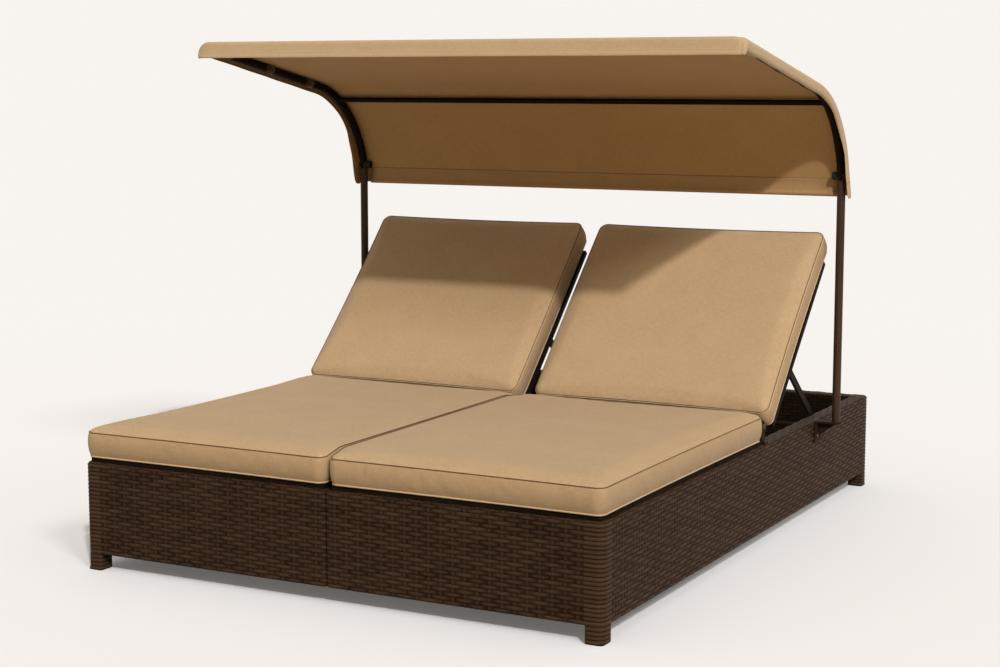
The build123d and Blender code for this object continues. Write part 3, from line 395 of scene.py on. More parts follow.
weave_group = strand_weave()
strand_finish, tree = new_finish("resin_strands")
lines = put(tree, "ShaderNodeUVMap", uv_map="weave").outputs[0]
body_place = put(tree, "ShaderNodeTexCoord").outputs["Object"]
body_split = put(tree, "ShaderNodeSeparateXYZ", {0: body_place}).outputs
beside, ahead = (calc("ABSOLUTE", body_split[side]) for side in (0, 1))
wrapped = times(ramp(beside, post_x - post_edge, post_x + post_edge),
                ramp(ahead, post_y - post_edge, post_y + post_edge))
woven = put(tree, "ShaderNodeGroup", {0: lines, 1: wrapped}, node_tree=weave_group).outputs
patches = noise(body_place, 7.0, 2.0)
brown = blend_colours(woven["Tone"], (0.0226, 0.0105, 0.0055, 1), (0.050, 0.0255, 0.0142, 1))
olive = blend_colours(ramp(woven["Tone"], 0.55, 0.8, 0.0, 0.35), brown, (0.043, 0.028, 0.0135, 1))
streaked = blend_colours(ramp(woven["Streak"], 0.35, 0.75, 0.0, 0.4), olive,
                         (0.016, 0.0078, 0.0042, 1))
# Painted highlight: the strands' crests are lightened, a little more where they are wrapped round a
# corner post.
crest_highlight_share = times(woven["Crest"], calc("ADD", 0.26, times(wrapped, 0.14)))
crest_highlighted = blend_colours(crest_highlight_share, streaked, (0.110, 0.064, 0.038, 1))
staked = blend_colours(times(woven["Stake"], 0.4), crest_highlighted, (0.058, 0.033, 0.020, 1))
aged = blend_colours(ramp(patches, 0.35, 0.75, 0.0, 0.2), staked, (0.034, 0.020, 0.012, 1))
# Painted shade: the strands on the wall's inner face, past the rows where the inner face begins,
# are darkened towards near black.
inside = ramp(put(tree, "ShaderNodeSeparateXYZ", {0: lines}).outputs[1], *inner_shade_rows, 0.0, 0.80)
painted_inner_shade = blend_colours(inside, aged, (0.006, 0.0035, 0.0022, 1))
# The gaps between rows and the recesses where a strand dips under a stake are darkened to near
# black: the dark of a real gap together with painted shade.
shaded = blend_colours(times(woven["Gap"], 0.88), painted_inner_shade, (0.0016, 0.0009, 0.0006, 1))
dull = calc("ADD", ramp(woven["Streak"], 0.2, 0.8, 0.40, 0.55), times(woven["Gap"], 0.35))
shade_skin(shaded, dull, woven["Height"], 0.7, 0.0012,
           {"Specular IOR Level": 0.04, "Specular Tint": (1.0, 0.80, 0.62, 1)})

for word, hand in (("left", -1), ("right", 1)):
    visible = wall_section[0][-1] - 2 * wall_depth - (wall_top - wall_low)
    grids = [woven_grid(wall_plan, wall_section, *ring_rows(wall_section, visible + wall_depth),
                        True)]
    for end in (-1, 1):
        grids.append(woven_grid(leg_plan(end), leg_section,
                                *ring_rows(leg_section, leg_high - leg_low), False, 0.5))
    wicker = surface(f"{word}_woven_skin", grids, strand_finish, hand, "weave")
    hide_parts(f"{word}_wicker_shell")
    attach(wicker, "base")

# Metal frames, backs, props and racks: welded flat bar and tube in dark bronze powder coat, with
# its fine orange-peel skin, slow changes of tone and a little dust. The frames' coat is darker
# still, as painted shade for the deck's edge in the gap under the cushions. Screws are bronzed
# zinc, and feet, spacers, caps and knobs are moulded nylon.


def coat_grain():
    """Node group of a sprayed or moulded skin: fine lumps as height, slow tone changes and dust."""
    group, start = new_group("coat_grain", Place="Vector", Grain="Float")
    lumps = noise(start[0], start[1], 2.0, 0.45)
    slow = noise(start[0], 6.0, 3.0)
    specks = noise(start[0], 90.0, 4.0, 0.7)
    dust = times(ramp(specks, 0.5, 0.72), ramp(slow, 0.4, 0.65))
    return give(group, Height=lumps, Tone=slow, Dust=dust)


grain_group = coat_grain()


def coated(name, colour, lighter, dusty, grain, roughness, metallic=0.0, depth=0.00012,
           gloss=0.16):
    """A coated, moulded or plated finish that reads Object coordinates."""
    finish, tree = new_finish(name)
    spots = put(tree, "ShaderNodeTexCoord").outputs["Object"]
    skin = put(tree, "ShaderNodeGroup", {"Place": spots, "Grain": grain},
               node_tree=grain_group).outputs
    toned = blend_colours(ramp(skin["Tone"], 0.3, 0.7), colour, lighter)
    dusted = blend_colours(times(skin["Dust"], 0.3), toned, dusty)
    rough = calc("ADD", times(skin["Dust"], 0.25),
                 ramp(skin["Tone"], 0.3, 0.7, roughness - 0.05, roughness + 0.06))
    shade_skin(dusted, rough, skin["Height"], 0.5, depth,
               {"Metallic": metallic, "Specular IOR Level": gloss,
                "Specular Tint": (1.0, 0.86, 0.74, 1)})
    return finish


def dress(finish, *names):
    """Gives CAD nodes a finish through their material slots."""
    for name in names:
        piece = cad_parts[name]
        if not piece.material_slots:
            piece.data.materials.append(finish)
        for held in piece.material_slots:
            held.material = finish


# Painted shade: the frames' coat is near black, darker than the brackets' and the poles', so that
# the deck's edge in the gap under each seat cushion reads as shadow.
frame_coat_painted_shade = coated("bronze_frame_coat", (0.0085, 0.0050, 0.0034, 1), (0.0125, 0.0078, 0.0052, 1),
                    (0.045, 0.034, 0.026, 1), 900.0, 0.60, gloss=0.03)
bracket_coat = coated("dark_bracket_coat", (0.013, 0.0075, 0.0048, 1), (0.020, 0.0120, 0.0078, 1),
                      (0.065, 0.049, 0.037, 1), 1100.0, 0.55, gloss=0.03)
for word in ("left", "right"):
    dress(frame_coat_painted_shade, f"{word}_side_frame", f"{word}_end_frames", f"{word}_centre_frame",
          f"{word}_seat_deck", f"{word}_back_frame", f"{word}_prop_foot_bar")
    dress(bracket_coat, f"{word}_outer_hinge_bracket", f"{word}_inner_hinge_bracket",
          f"{word}_outer_rack", f"{word}_inner_rack", f"{word}_prop_outer_arm",
          f"{word}_prop_inner_arm")
zinc = coated("bronzed_zinc", (0.060, 0.042, 0.030, 1), (0.085, 0.062, 0.045, 1),
              (0.14, 0.12, 0.10, 1), 1500.0, 0.42, metallic=0.6, depth=0.00005)
dress(zinc, "hinge_pins", "bracket_screws", "rack_screws", "join_bolts", "deck_screws",
      "pole_set_screws", "left_prop_pins", "right_prop_pins")
bolt_coat = coated("blackened_bolts", (0.030, 0.021, 0.016, 1), (0.042, 0.031, 0.024, 1),
                   (0.14, 0.12, 0.10, 1), 1300.0, 0.36, metallic=0.3, depth=0.00006)
dress(bolt_coat, "pole_foot_bolts", "pivot_bolts", "crossbar_screws")
nylon = coated("black_nylon", (0.012, 0.011, 0.010, 1), (0.018, 0.016, 0.015, 1),
               (0.10, 0.09, 0.08, 1), 700.0, 0.55)
dress(nylon, "foot_glides", "join_spacers", "arm_end_caps", "left_clamp_knob", "right_clamp_knob")

# Poles and canopy frame: round tube, bent for the arms, in bronze powder coat, painted much darker
# as shade on the arms, bars and rear rod, and somewhat darker on the pole feet. The poles slip over
# spigots on feet bolted to the side walls, and the bars are screwed between the arms.
pole_coat = coated("bronze_pole_coat", (0.040, 0.0215, 0.0125, 1), (0.052, 0.029, 0.0175, 1),
                   (0.10, 0.076, 0.058, 1), 1000.0, 0.42, gloss=0.14)
# Painted shade: a coat about four times darker than the poles' for the arms, bars and rod under the
# canopy, and one about half as bright for the pole feet.
arm_coat_painted_shade = coated("bronze_arm_coat", (0.0095, 0.0052, 0.0032, 1), (0.0145, 0.0084, 0.0054, 1),
                  (0.055, 0.041, 0.031, 1), 1000.0, 0.55, gloss=0.03)
foot_coat_painted_shade = coated("bronze_foot_coat", (0.022, 0.0122, 0.0074, 1), (0.030, 0.0170, 0.0105, 1),
                   (0.08, 0.060, 0.045, 1), 1000.0, 0.60, gloss=0.03)
for word in ("left", "right"):
    dress(pole_coat, f"{word}_pole", f"{word}_pole_head")
    dress(foot_coat_painted_shade, f"{word}_pole_foot")
    dress(arm_coat_painted_shade, f"{word}_canopy_arm")
dress(arm_coat_painted_shade, "front_crossbar", "middle_crossbar", "rear_hem_rod")

# Seat and back cushions: foam slabs in tan outdoor cloth, boxed all round, with painted shade on
# the boxing, deepest near the lower seam. The upper seam is a plain cord whose dark brown paints
# the shade along the seam, with a welt beside it on the backs, and the lower seam holds a welt; the
# welts' cloth is lighter than the cushions', as a painted highlight. They lie loose.
seat_plan = (0.007, 0.746, -0.996, 0.042)
back_plan = (0.032, 0.749, 0.020, 0.674)
seat_base, back_drop = 0.299, 0.032
hinge_y, hinge_z, back_tilt = 0.075, 0.336, math.radians(45)
cushion_corner, cushion_draw, inner_draw = 0.024, 0.004, -0.0015
lower_seam, upper_seam, crown_rise = 0.004, 0.067, 0.0195
swell_cap, side_swell_cap, swell_frames = 0.006, 0.0025, 20
under_draw, under_seam, panel_columns = -0.007, -0.006, 72
welt_step, welt_ring = 0.0045, 0.0019
boxing = ((0.067, -0.0012), (0.0645, 0.0008), (0.058, 0.0028), (0.048, 0.0038), (0.037, 0.0038),
          (0.026, 0.0030), (0.016, 0.0012), (0.008, -0.0018), (0.004, -0.0046))


def crowded(count):
    """Shares from 0 to 1 that lie closer near both ends: u - 0.6 * sin(2 * pi * u) / (2 * pi)."""
    u = np.linspace(0, 1, count + 1)
    return u - 0.6 * np.sin(2 * math.pi * u) / (2 * math.pi)


def cushion_side(length, count, corner, draw):
    """One side from the middle of a corner's turn to the middle of the next, as (along, depth).
    A turn is corner * (1 - cos a, 1 - sin a), and between turns the depth is
    draw * sin(pi * share) ** 0.8 so that the side pulls in."""
    turn = np.linspace(math.pi / 4, math.pi / 2, 6)
    share = np.linspace(0, 1, 60)[1:-1]
    start = together(corner * (1 - np.cos(turn)), corner * (1 - np.sin(turn)))
    middle = together(corner + (length - 2 * corner) * share,
                      draw * np.sin(math.pi * share) ** 0.8)
    end = (length, 0) + start[::-1] * (-1, 1)
    dense = np.concatenate([start, middle, end])
    steps = run_lengths(dense)
    places = steps[-1] * crowded(count)
    return np.interp(places, steps, dense[:, 0]), np.interp(places, steps, dense[:, 1])


def cushion_sides(plan, offset, counts):
    """The four sides of a cushion's plan, moved out by an offset."""
    x0, x1, y0, y1 = (plan[0] - offset, plan[1] + offset, plan[2] - offset, plan[3] + offset)
    corner = max(cushion_corner + offset, 0.006)
    across, inward = cushion_side(x1 - x0, counts[0], corner, cushion_draw)
    along, inset = cushion_side(y1 - y0, counts[1], corner, cushion_draw)
    inner = cushion_side(y1 - y0, counts[1], corner, inner_draw)[1]
    front, rear = together(x0 + across, y0 + inward), together(x0 + across, y1 - inward)
    left, right = together(x0 + inner, y0 + along), together(x1 - inset, y0 + along)
    return front, right, rear, left


def cushion_panel(plan, offset, counts):
    """A panel's plan as a grid, each point the sum of the two blends between facing sides minus
    the blend between the four corners."""
    front, right, rear, left = cushion_sides(plan, offset, counts)
    s, t = crowded(counts[0])[:, None, None], crowded(counts[1])[None, :, None]
    flat = (1 - s) * (1 - t) * front[0] + s * (1 - t) * front[-1]
    flat = flat + (1 - s) * t * rear[0] + s * t * rear[-1]
    return ((1 - t) * front[:, None] + t * rear[:, None] + (1 - s) * left[None]
            + s * right[None] - flat)


def cushion_loop(plan, offset, counts):
    """The same outline as one closed loop, from the front left corner and to the right."""
    front, right, rear, left = cushion_sides(plan, offset, counts)
    return np.concatenate([front[:-1], right[:-1], rear[:0:-1], left[:0:-1]])


def crown(panel, plan, rise):
    """Height of the top over its seam: rise * g(a) * g(b), with a and b the distances to the
    panel's nearest edges in half widths, up to 1, and g(w) = 0.86 * (1 - (1 - w) ** 52)
    + 0.14 * (1 - (1 - w) ** 3), a quick shoulder and then a slow rise."""
    half = (plan[1] - plan[0]) / 2
    a = np.minimum(panel[..., 0] - panel[:1, :, 0], panel[-1:, :, 0] - panel[..., 0]) / half
    b = np.minimum(panel[..., 1] - panel[:, :1, 1], panel[:, -1:, 1] - panel[..., 1]) / half
    g = [0.86 * (1 - (1 - w) ** 52) + 0.14 * (1 - (1 - w) ** 3) for w in np.clip([a, b], 0, 1)]
    return rise * g[0] * g[1]


def seam_lift(x, y, plan, lift):
    """How far the upper seam stands above its level, most along the inner side, where two
    cushions press together: lift * n * (3 * e ** 2 - 2 * e ** 3), with n = 1.05 *
    (1 - (x - x0) / 30 mm) ** 2, up to 1, and e the distance to the nearer end in 90 mm, up to 1."""
    near = np.clip(1 - (x - plan[0]) / 0.030, 0, 1) ** 2
    ends = np.clip(np.minimum(y - plan[2], plan[3] - y) / 0.090, 0, 1)
    return lift * np.minimum(near * 1.05, 1) * (3 * ends ** 2 - 2 * ends ** 3)


def cloth_threads():
    """Node group of plain woven cloth on coordinates in metres: crossing threads as height, and
    slubs and soft clouds as tones."""
    group, start = new_group("cloth_threads", Coordinates="Vector", Pitch="Float")
    split = put(group, "ShaderNodeSeparateXYZ", {0: start[0]}).outputs
    waves = []
    for side in (0, 1):
        turns = calc("DIVIDE", split[side], start[1])
        waves.append(calc("SINE", times(turns, math.pi)))
    over = calc("GREATER_THAN", times(*waves), 0.0)
    first = times(calc("ABSOLUTE", waves[0]), over)
    second = times(calc("ABSOLUTE", waves[1]), rest(over))
    slubs = [noise(start[0], 1.0, 2.0, flat=True, stretch=stretch)
             for stretch in ((50.0, 420.0, 1.0), (420.0, 50.0, 1.0))]
    slub = times(calc("ADD", *slubs), 0.5)
    clouds = noise(start[0], 9.0, 3.0, flat=True)
    height = calc("ADD", calc("ADD", first, second), times(slub, 0.6))
    return give(group, Height=height, Slubs=slub, Clouds=clouds)


thread_group = cloth_threads()
thread_bump = (0.35, 0.00035)
cloth_gloss = {"Specular IOR Level": 0.2, "Sheen Weight": 0.12, "Sheen Roughness": 0.5}


def cloth_look(spots, colour, darker, lighter, pitch):
    """A cloth's slubbed and clouded colour, its roughness and its threads' height."""
    threads = put(spots.id_data, "ShaderNodeGroup", {"Coordinates": spots, "Pitch": pitch},
                  node_tree=thread_group).outputs
    slubbed = blend_colours(ramp(threads["Slubs"], 0.34, 0.68), darker, colour)
    clouded = blend_colours(ramp(threads["Clouds"], 0.35, 0.75, 0.0, 0.3), slubbed, lighter)
    return clouded, ramp(threads["Slubs"], 0.3, 0.7, 0.86, 0.94), threads["Height"]


def cloth(name, colour, darker, lighter, pitch):
    """A woven cloth finish that reads a piece's own cloth coordinates, with painted shade on a
    boxing.
    """
    finish, tree = new_finish(name)
    spots = put(tree, "ShaderNodeUVMap", uv_map="cloth").outputs[0]
    clouded, rough, height = cloth_look(spots, colour, darker, lighter, pitch)
    # Painted shade: the boxing attribute darkens the cloth, most towards the lower seam.
    strip = put(tree, "ShaderNodeAttribute", attribute_name="boxing").outputs["Fac"]
    shaded = blend_colours(strip, clouded, (0.80, 0.745, 0.71, 1), "MULTIPLY")
    shade_skin(shaded, rough, height, *thread_bump, cloth_gloss)
    return finish


cushion_cloth = cloth("cushion_cloth", (0.510, 0.350, 0.198, 1), (0.448, 0.297, 0.160, 1),
                      (0.530, 0.371, 0.215, 1), 0.0012)
# Painted shade and highlight: the seam cord's dark brown stands in for the shade along the upper
# seam, and the welts' cloth is lighter than the cushions' for their highlight.
seam_shade_cloth = cloth("seam_shade_cloth", (0.185, 0.098, 0.040, 1), (0.145, 0.074, 0.029, 1),
                   (0.21, 0.118, 0.052, 1), 0.0011)
welt_highlight_cloth = cloth("welt_highlight_cloth", (0.58, 0.41, 0.24, 1), (0.51, 0.35, 0.20, 1),
                   (0.62, 0.445, 0.27, 1), 0.0011)


def boxed_cushion(name, plan, place, hand, seed, pressed, bulge, lift):
    """A closed boxed cushion. Its top and underside are panels, and its boxing is the outline
    carried through the boxing's levels, raised with the seam. Air pressure swells it, and each
    point keeps cap * tanh(way / cap) of its way. place sets (x, y, height) in the shared frame.
    The side at y = pressed bulges as bulge * (1 - gap / 30 mm) ** 2 * sin(pi * height / seam)."""
    counts = (panel_columns, round((plan[3] - plan[2]) / 0.01))
    top = cushion_panel(plan, boxing[0][1], counts)
    under = cushion_panel(plan, under_draw, counts)
    chance = np.random.default_rng(seed)
    slow = chance.normal(0, 1, 6)
    x, y = top[..., 0], top[..., 1]
    waves = (slow[0] * np.sin(7 * x + slow[1]) * np.sin(5 * y + slow[2])
             + slow[3] * np.sin(13 * x + slow[4]) * np.sin(11 * y + slow[5]))
    rise = crown(top, plan, crown_rise * (0.8))
    raised = seam_lift(x, y, plan, lift)
    rise = raised + rise * (1 + 0.03 * waves) * (1 - raised / crown_rise)
    sheet_top = np.concatenate([top, (upper_seam + rise)[..., None]], axis=-1)
    sheet_under = np.pad(under, ((0, 0), (0, 0), (0, 1)))
    rows = []
    for level, offset in boxing[1:]:
        loop = cushion_loop(plan, offset, counts)
        raised = seam_lift(loop[:, 0], loop[:, 1], plan, lift) * level / upper_seam
        rows.append(np.concatenate([loop, (level + raised)[:, None]], axis=1))
    across, along = counts[0] + 1, counts[1] + 1
    panel = across * along
    ids = np.arange(panel).reshape(across, along)
    rim = np.concatenate([ids[:-1, 0], ids[-1, :-1], ids[:0:-1, -1], ids[0, :0:-1]])
    around = len(rim)
    rings = [rim] + [2 * panel + row * around + np.arange(around) for row in range(len(rows))]
    rings.append(rim + panel)
    quads, corners = grid_faces(across, along, False, False)
    faces = [quads, quads[:, ::-1] + panel]
    uvs = [top[corners[..., 0], corners[..., 1]]]
    uvs.append(uvs[0][:, ::-1])
    edge = run_lengths(top.reshape(-1, 2)[np.append(rim, rim[0])])
    heights = [level for level, offset in boxing] + [under_seam]
    for above, below, up, down in zip(rings, rings[1:], heights, heights[1:]):
        faces.append(together(above, below, np.roll(below, -1), np.roll(above, -1)))
        uvs.append(np.stack([together(edge[:-1], up), together(edge[:-1], down),
                             together(edge[1:], down), together(edge[1:], up)], axis=1))
    spots = np.concatenate([sheet_top.reshape(-1, 3), sheet_under.reshape(-1, 3)] + rows)
    cushion = new_piece(name, spots, np.concatenate(faces).tolist(), np.concatenate(uvs),
                        cushion_cloth, "cloth")
    mesh = cushion.data
    # Painted shade for the boxing: about 0.5 at the top of the boxing to about 1 at its foot, and 0
    # on the panels.
    shade = np.zeros(len(spots))
    shade[2 * panel:] = np.repeat([1 - 0.5 * level / upper_seam for level, offset in boxing[1:]],
                                  around)
    mesh.attributes.new("boxing", "FLOAT", "POINT").data.foreach_set("value", shade)
    sewn = np.concatenate([rim, np.arange(panel, 2 * panel), rings[-2]])
    cushion.vertex_groups.new(name="sewn").add(sewn.tolist(), 1.0, "REPLACE")
    blow = cushion.modifiers.new("fill", "CLOTH")
    for setting, value in (
            ("quality", 6), ("mass", 0.35), ("tension_stiffness", 22),
            ("compression_stiffness", 22), ("shear_stiffness", 10), ("bending_stiffness", 1.2),
            ("use_pressure", True), ("uniform_pressure_force", 4.0), ("shrink_min", -0.004),
            ("vertex_group_mass", "sewn")):
        setattr(blow.settings, setting, value)
    blow.settings.effector_weights.gravity = 0
    blow.point_cache.frame_start, blow.point_cache.frame_end = 1, swell_frames
    for step in range(1, swell_frames + 1):
        bpy.context.scene.frame_set(step)
    blown = cushion.evaluated_get(bpy.context.evaluated_depsgraph_get())
    moved = np.empty(len(spots) * 3, np.float32)
    blown.data.vertices.foreach_get("co", moved)
    moved = moved.reshape(-1, 3).astype(float) - spots
    reach = np.linalg.norm(moved, axis=1)
    cap = np.full(len(spots), side_swell_cap)
    cap[:panel] = swell_cap
    kept = cap * np.tanh(reach / cap) / np.maximum(reach, 1e-9)
    spots = spots + moved * kept[:, None]
    cushion.modifiers.remove(blow)
    cushion.vertex_groups.clear()
    bpy.context.scene.frame_set(1)
    spots[:, 2] = np.clip(spots[:, 2], 0, upper_seam + crown_rise + swell_cap)
    beside = np.clip(1 - np.abs(spots[:, 1] - pressed) / 0.030, 0, 1) ** 2
    spots[:, 1] += bulge * beside * np.sin(math.pi * np.clip(spots[:, 2] / upper_seam, 0, 1))
    placed = place(spots) * (hand, 1, 1)
    mesh.vertices.foreach_set("co", placed.ravel())
    if hand < 0:
        mesh.flip_normals()
    mesh.update()
    rounder = cushion.modifiers.new("soften", "SUBSURF")
    rounder.levels = rounder.render_levels = 1
    return cushion


def welt_cord(name, plan, place, hand, level, out, radius, finish, lift):
    """A seam's welt: a ring of eight points carried along the outline at the seam's level, raised
    with the seam. A point is outline + radius * (cos a outwards, sin a upwards)."""
    loop = cushion_loop(plan, out, (160, round((plan[3] - plan[2]) / welt_step)))
    ahead = np.roll(loop, -1, axis=0) - np.roll(loop, 1, axis=0)
    outward = together(ahead[:, 1], -ahead[:, 0])
    outward = outward / np.linalg.norm(outward, axis=1)[:, None]
    turn = np.arange(8) * math.pi / 4
    spread = loop[:, None] + outward[:, None] * (radius * np.cos(turn))[None, :, None]
    raised = seam_lift(loop[:, 0], loop[:, 1], plan, lift) * level / upper_seam
    height = level + raised[:, None] + radius * np.sin(turn)[None, :]
    spots = place(np.concatenate([spread, height[..., None]], axis=-1).reshape(-1, 3))
    lines = together(np.arange(len(loop) + 1)[:, None] * welt_step, np.arange(9) * welt_ring)
    grid = (spots.reshape(spread.shape[:2] + (3,)), lines, True, True)
    return surface(name, [grid], finish, hand)


def on_seat(spots):
    """(x, y, height) on the seat deck."""
    return spots + (0, 0, seat_base)


def on_back(spots):
    """(x, up the back, height) turned by the back's tilt round the hinge."""
    up, out = spots[:, 1], spots[:, 2] - back_drop
    c, s = math.cos(back_tilt), math.sin(back_tilt)
    return together(spots[:, 0], hinge_y + up * c - out * s, hinge_z + up * s + out * c)


for word, hand in (("left", -1), ("right", 1)):
    for kind, plan, place, body, pressed, bulge, lift in (
            ("seat", seat_plan, on_seat, "base", seat_plan[3], 0.004, 0.0155),
            ("back", back_plan, on_back, f"{word}_back", back_plan[2], -0.006, 0.0)):
        cushion = boxed_cushion(f"{word}_{kind}_pad", plan, place, hand,
                                sum(map(ord, word + kind)), pressed, bulge, lift)
        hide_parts(f"{word}_{kind}_cushion")
        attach(cushion, body)
        seams = [("upper_seam", upper_seam + 0.0006, 0.0000, 0.0013 if kind == "seat" else 0.0009,
                  seam_shade_cloth),
                 ("lower_welt", lower_seam, -0.0036, 0.0022, welt_highlight_cloth)]
        if kind == "back":
            seams.append(("upper_welt", upper_seam - 0.0022, 0.0012, 0.0016, welt_highlight_cloth))
        for seam, level, out, radius, finish in seams:
            cord = welt_cord(f"{word}_{kind}_{seam}", plan, place, hand, level, out, radius, finish,
                             lift)
            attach(cord, body)

# Canopy: one sheet of tan canvas stretched over the arms and bars, with short flaps at the front
# and sides, hemmed and sewn with a double row. Loops hold it to the arms, and a pocket at the rear
# holds a rod.
pole_y, pivot_z, pole_x = 0.490, 1.006067, 0.808
arm_bend, end_slope, front_slope = 0.330, math.radians(74), math.radians(11)
arm_tail, arm_front = 0.020, 0.570
bend_y = pole_y - arm_tail * math.cos(end_slope) - arm_bend * math.sin(end_slope)
bend_z = pivot_z + arm_tail * math.sin(end_slope) - arm_bend * math.cos(end_slope)
canopy_half, canopy_out, flap_low = 0.832, 0.0153, -0.033
front_reach, rear_reach, canvas_thick = 0.038, 0.084, 0.0013
side_turn, corner_turn, front_turn, hem_turn = 0.018, 0.036, 0.010, 0.022
side_curl, side_short, short_start = 0.013, 0.010, -0.565
fine_start, corner_start, free_ahead = -0.580, -0.583, 0.040
front_sag, rear_sag, flap_ripple, corner_pleat = 0.0045, 0.003, 0.0009, 0.0028
bend_length = (end_slope - front_slope) * arm_bend
front_start, rear_end = -(arm_front + front_reach), bend_length + rear_reach
inner_x, inner_run = canopy_half - side_turn, front_start + front_turn
pocket_start = rear_end - 0.050
top_drop = canopy_out - flap_low
side_skirt = side_turn * math.pi / 2 + top_drop - side_turn
front_skirt = front_turn * math.pi / 2 + top_drop - front_turn


def on_arms(x, run, out):
    """A place on the canopy's own sheet: x across, run along the arms' centre line from the front
    of the bend, and out from that line. Before the bend and after it the line is straight, and in
    it the slope is front + run / bend, with (y, z) = centre + (bend + out) * (sin, cos)."""
    slope = front_slope + np.clip(run, 0, bend_length) / arm_bend
    before, after = np.minimum(run, 0), np.maximum(run - bend_length, 0)
    y = bend_y + (arm_bend + out) * np.sin(slope)
    z = bend_z + (arm_bend + out) * np.cos(slope)
    y = y + before * math.cos(front_slope) + after * math.cos(end_slope)
    z = z - before * math.sin(front_slope) - after * math.sin(end_slope)
    return together(x, y, z)


def canopy_sheet():
    """The sheet as a grid. Its flat middle ends a side turn from the side edges and a front turn
    from the front edge. Past that a point's depth and direction lead over the rounded edge and
    down the flap: reach = turn * sin(depth / turn), drop = turn * (1 - cos(depth / turn)), then
    straight down. At a front corner the direction swings from sideways to forwards, and the side
    turn grows ahead of the arms' ends. A side flap is cut shorter behind its front corner, and its
    last part curls in under its arm by curl * (1 - cos(past / curl)), but not beside the pivot."""
    skirt = np.linspace(0, 1, 23)[1:]
    flat_x = np.linspace(-inner_x, inner_x, 121)
    bands = ((inner_run, fine_start, 7), (fine_start, 0, 49), (0, bend_length, 40),
             (bend_length, rear_end - hem_turn, 13), (rear_end - hem_turn, rear_end, 7))
    runs = np.concatenate([np.linspace(start, end, count, endpoint=False)
                           for start, end, count in bands] + [[rear_end]])
    across = np.concatenate([-skirt[::-1], 0 * flat_x, skirt])
    ahead = np.concatenate([skirt[::-1], 0 * runs])
    base_x = np.pad(flat_x, len(skirt), "edge")
    base_run = np.pad(runs, (len(skirt), 0), "edge")
    p, q = np.abs(across)[:, None], ahead[None, :]
    raise_by = np.clip(base_run - (rear_end - hem_turn), 0, hem_turn)
    cut = (hem_turn - np.sqrt(hem_turn ** 2 - raise_by ** 2)) / side_skirt
    short = side_short * np.clip((base_run - short_start) / 0.060, 0, 1) ** 2 * np.clip(
        (rear_end - base_run) / 0.20, 0.15, 1)
    p = p * (1 - (cut + short / side_skirt)[None, :])
    deep = np.maximum(p, q)
    safe = np.maximum(deep, 1e-9)
    swing = np.where(p >= q, math.pi / 4 * q / safe, math.pi / 2 - math.pi / 4 * p / safe)
    c, s = np.cos(swing), np.sin(swing)
    grown = np.clip((corner_start - base_run) / (corner_start - inner_run), 0, 1)
    side = side_turn + (corner_turn - side_turn) * (grown ** 2 * (3 - 2 * grown))[None, :]
    turn = side * c ** 2 + front_turn * s ** 2
    length = deep * (turn * math.pi / 2 + top_drop - turn)
    angle = np.minimum(length / turn, math.pi / 2)
    hang = np.maximum(length - turn * math.pi / 2, 0)
    loose = np.clip((bend_length - free_ahead - base_run) / 0.08, 0, 1)[None, :]
    past = np.maximum(hang - 0.2 * (top_drop - turn), 0) * c ** 2 * loose
    drop = turn * (1 - np.cos(angle)) + hang - past + side_curl * np.sin(past / side_curl)
    pleat = corner_pleat * np.exp(-((swing - math.pi / 4) / 0.10) ** 2) * np.sqrt(np.minimum(p, q))
    x = base_x[:, None] * (canopy_half - side) / inner_x + np.sign(across)[:, None] * (
        (side * np.sin(angle) - pleat) * c - side_curl * (1 - np.cos(past / side_curl)))
    run = base_run[None, :] - (front_turn * np.sin(angle) - pleat) * s
    share = np.clip(1 - (x / pole_x) ** 2, 0, 1)
    between = np.sin(math.pi * np.clip((run - front_start) / -front_start, 0, 1)) ** 2
    behind = np.sin(math.pi * np.clip((run - 0.02) / (rear_end - 0.06), 0, 1)) ** 2
    sag = share * (front_sag * between + rear_sag * behind)
    ripple = flap_ripple * np.sin(run * 41 + 3 * np.sin(x * 9)) * np.clip(drop / 0.03, 0, 1)
    spots = on_arms(x + np.sign(across)[:, None] * ripple * c, run - ripple * s,
                    canopy_out - drop - sag)
    return spots, together((base_x + across * side_skirt)[:, None], base_run - ahead * front_skirt)


def sewn_edges():
    """Node group of the sheet's sewn edges in its own flat coordinates: the doubled band along the
    sides and the front, the stitches of its two rows and of the pocket's, the height of the band
    with its puckers, and the fold at the pocket's row, where the finish paints a dark line of
    shade."""
    group, start = new_group("sewn_edges", Coordinates="Vector")
    split = put(group, "ShaderNodeSeparateXYZ", {0: start[0]}).outputs
    side = calc("SUBTRACT", inner_x + side_skirt, calc("ABSOLUTE", split[0]))
    front = calc("SUBTRACT", split[1], inner_run - front_skirt)
    depth = calc("MINIMUM", side, front)
    band = ramp(depth, 0.0165, 0.0155)
    along = calc("ADD", split[0], split[1])
    dash = ramp(calc("PINGPONG", along, 0.0022), 0.0005, 0.0009)
    rear = calc("SUBTRACT", pocket_start, split[1])
    seam = 0.0
    for value, place in ((depth, 0.0140), (depth, 0.0030), (rear, 0.0), (rear, -0.004)):
        off = calc("ABSOLUTE", calc("SUBTRACT", value, place))
        seam = calc("MAXIMUM", seam, ramp(off, 0.0007, 0.0003))
    puckers = times(noise(start[0], 95.0, 1.0, flat=True), 1.2)
    ridge = calc("ADD", band, times(ramp(depth, 0.022, 0.012), puckers))
    fold = ramp(calc("ABSOLUTE", rear), 0.0016, 0.0006)
    return give(group, Band=band, Stitch=times(seam, dash), Ridge=ridge, Seam=fold)


sewn_group = sewn_edges()


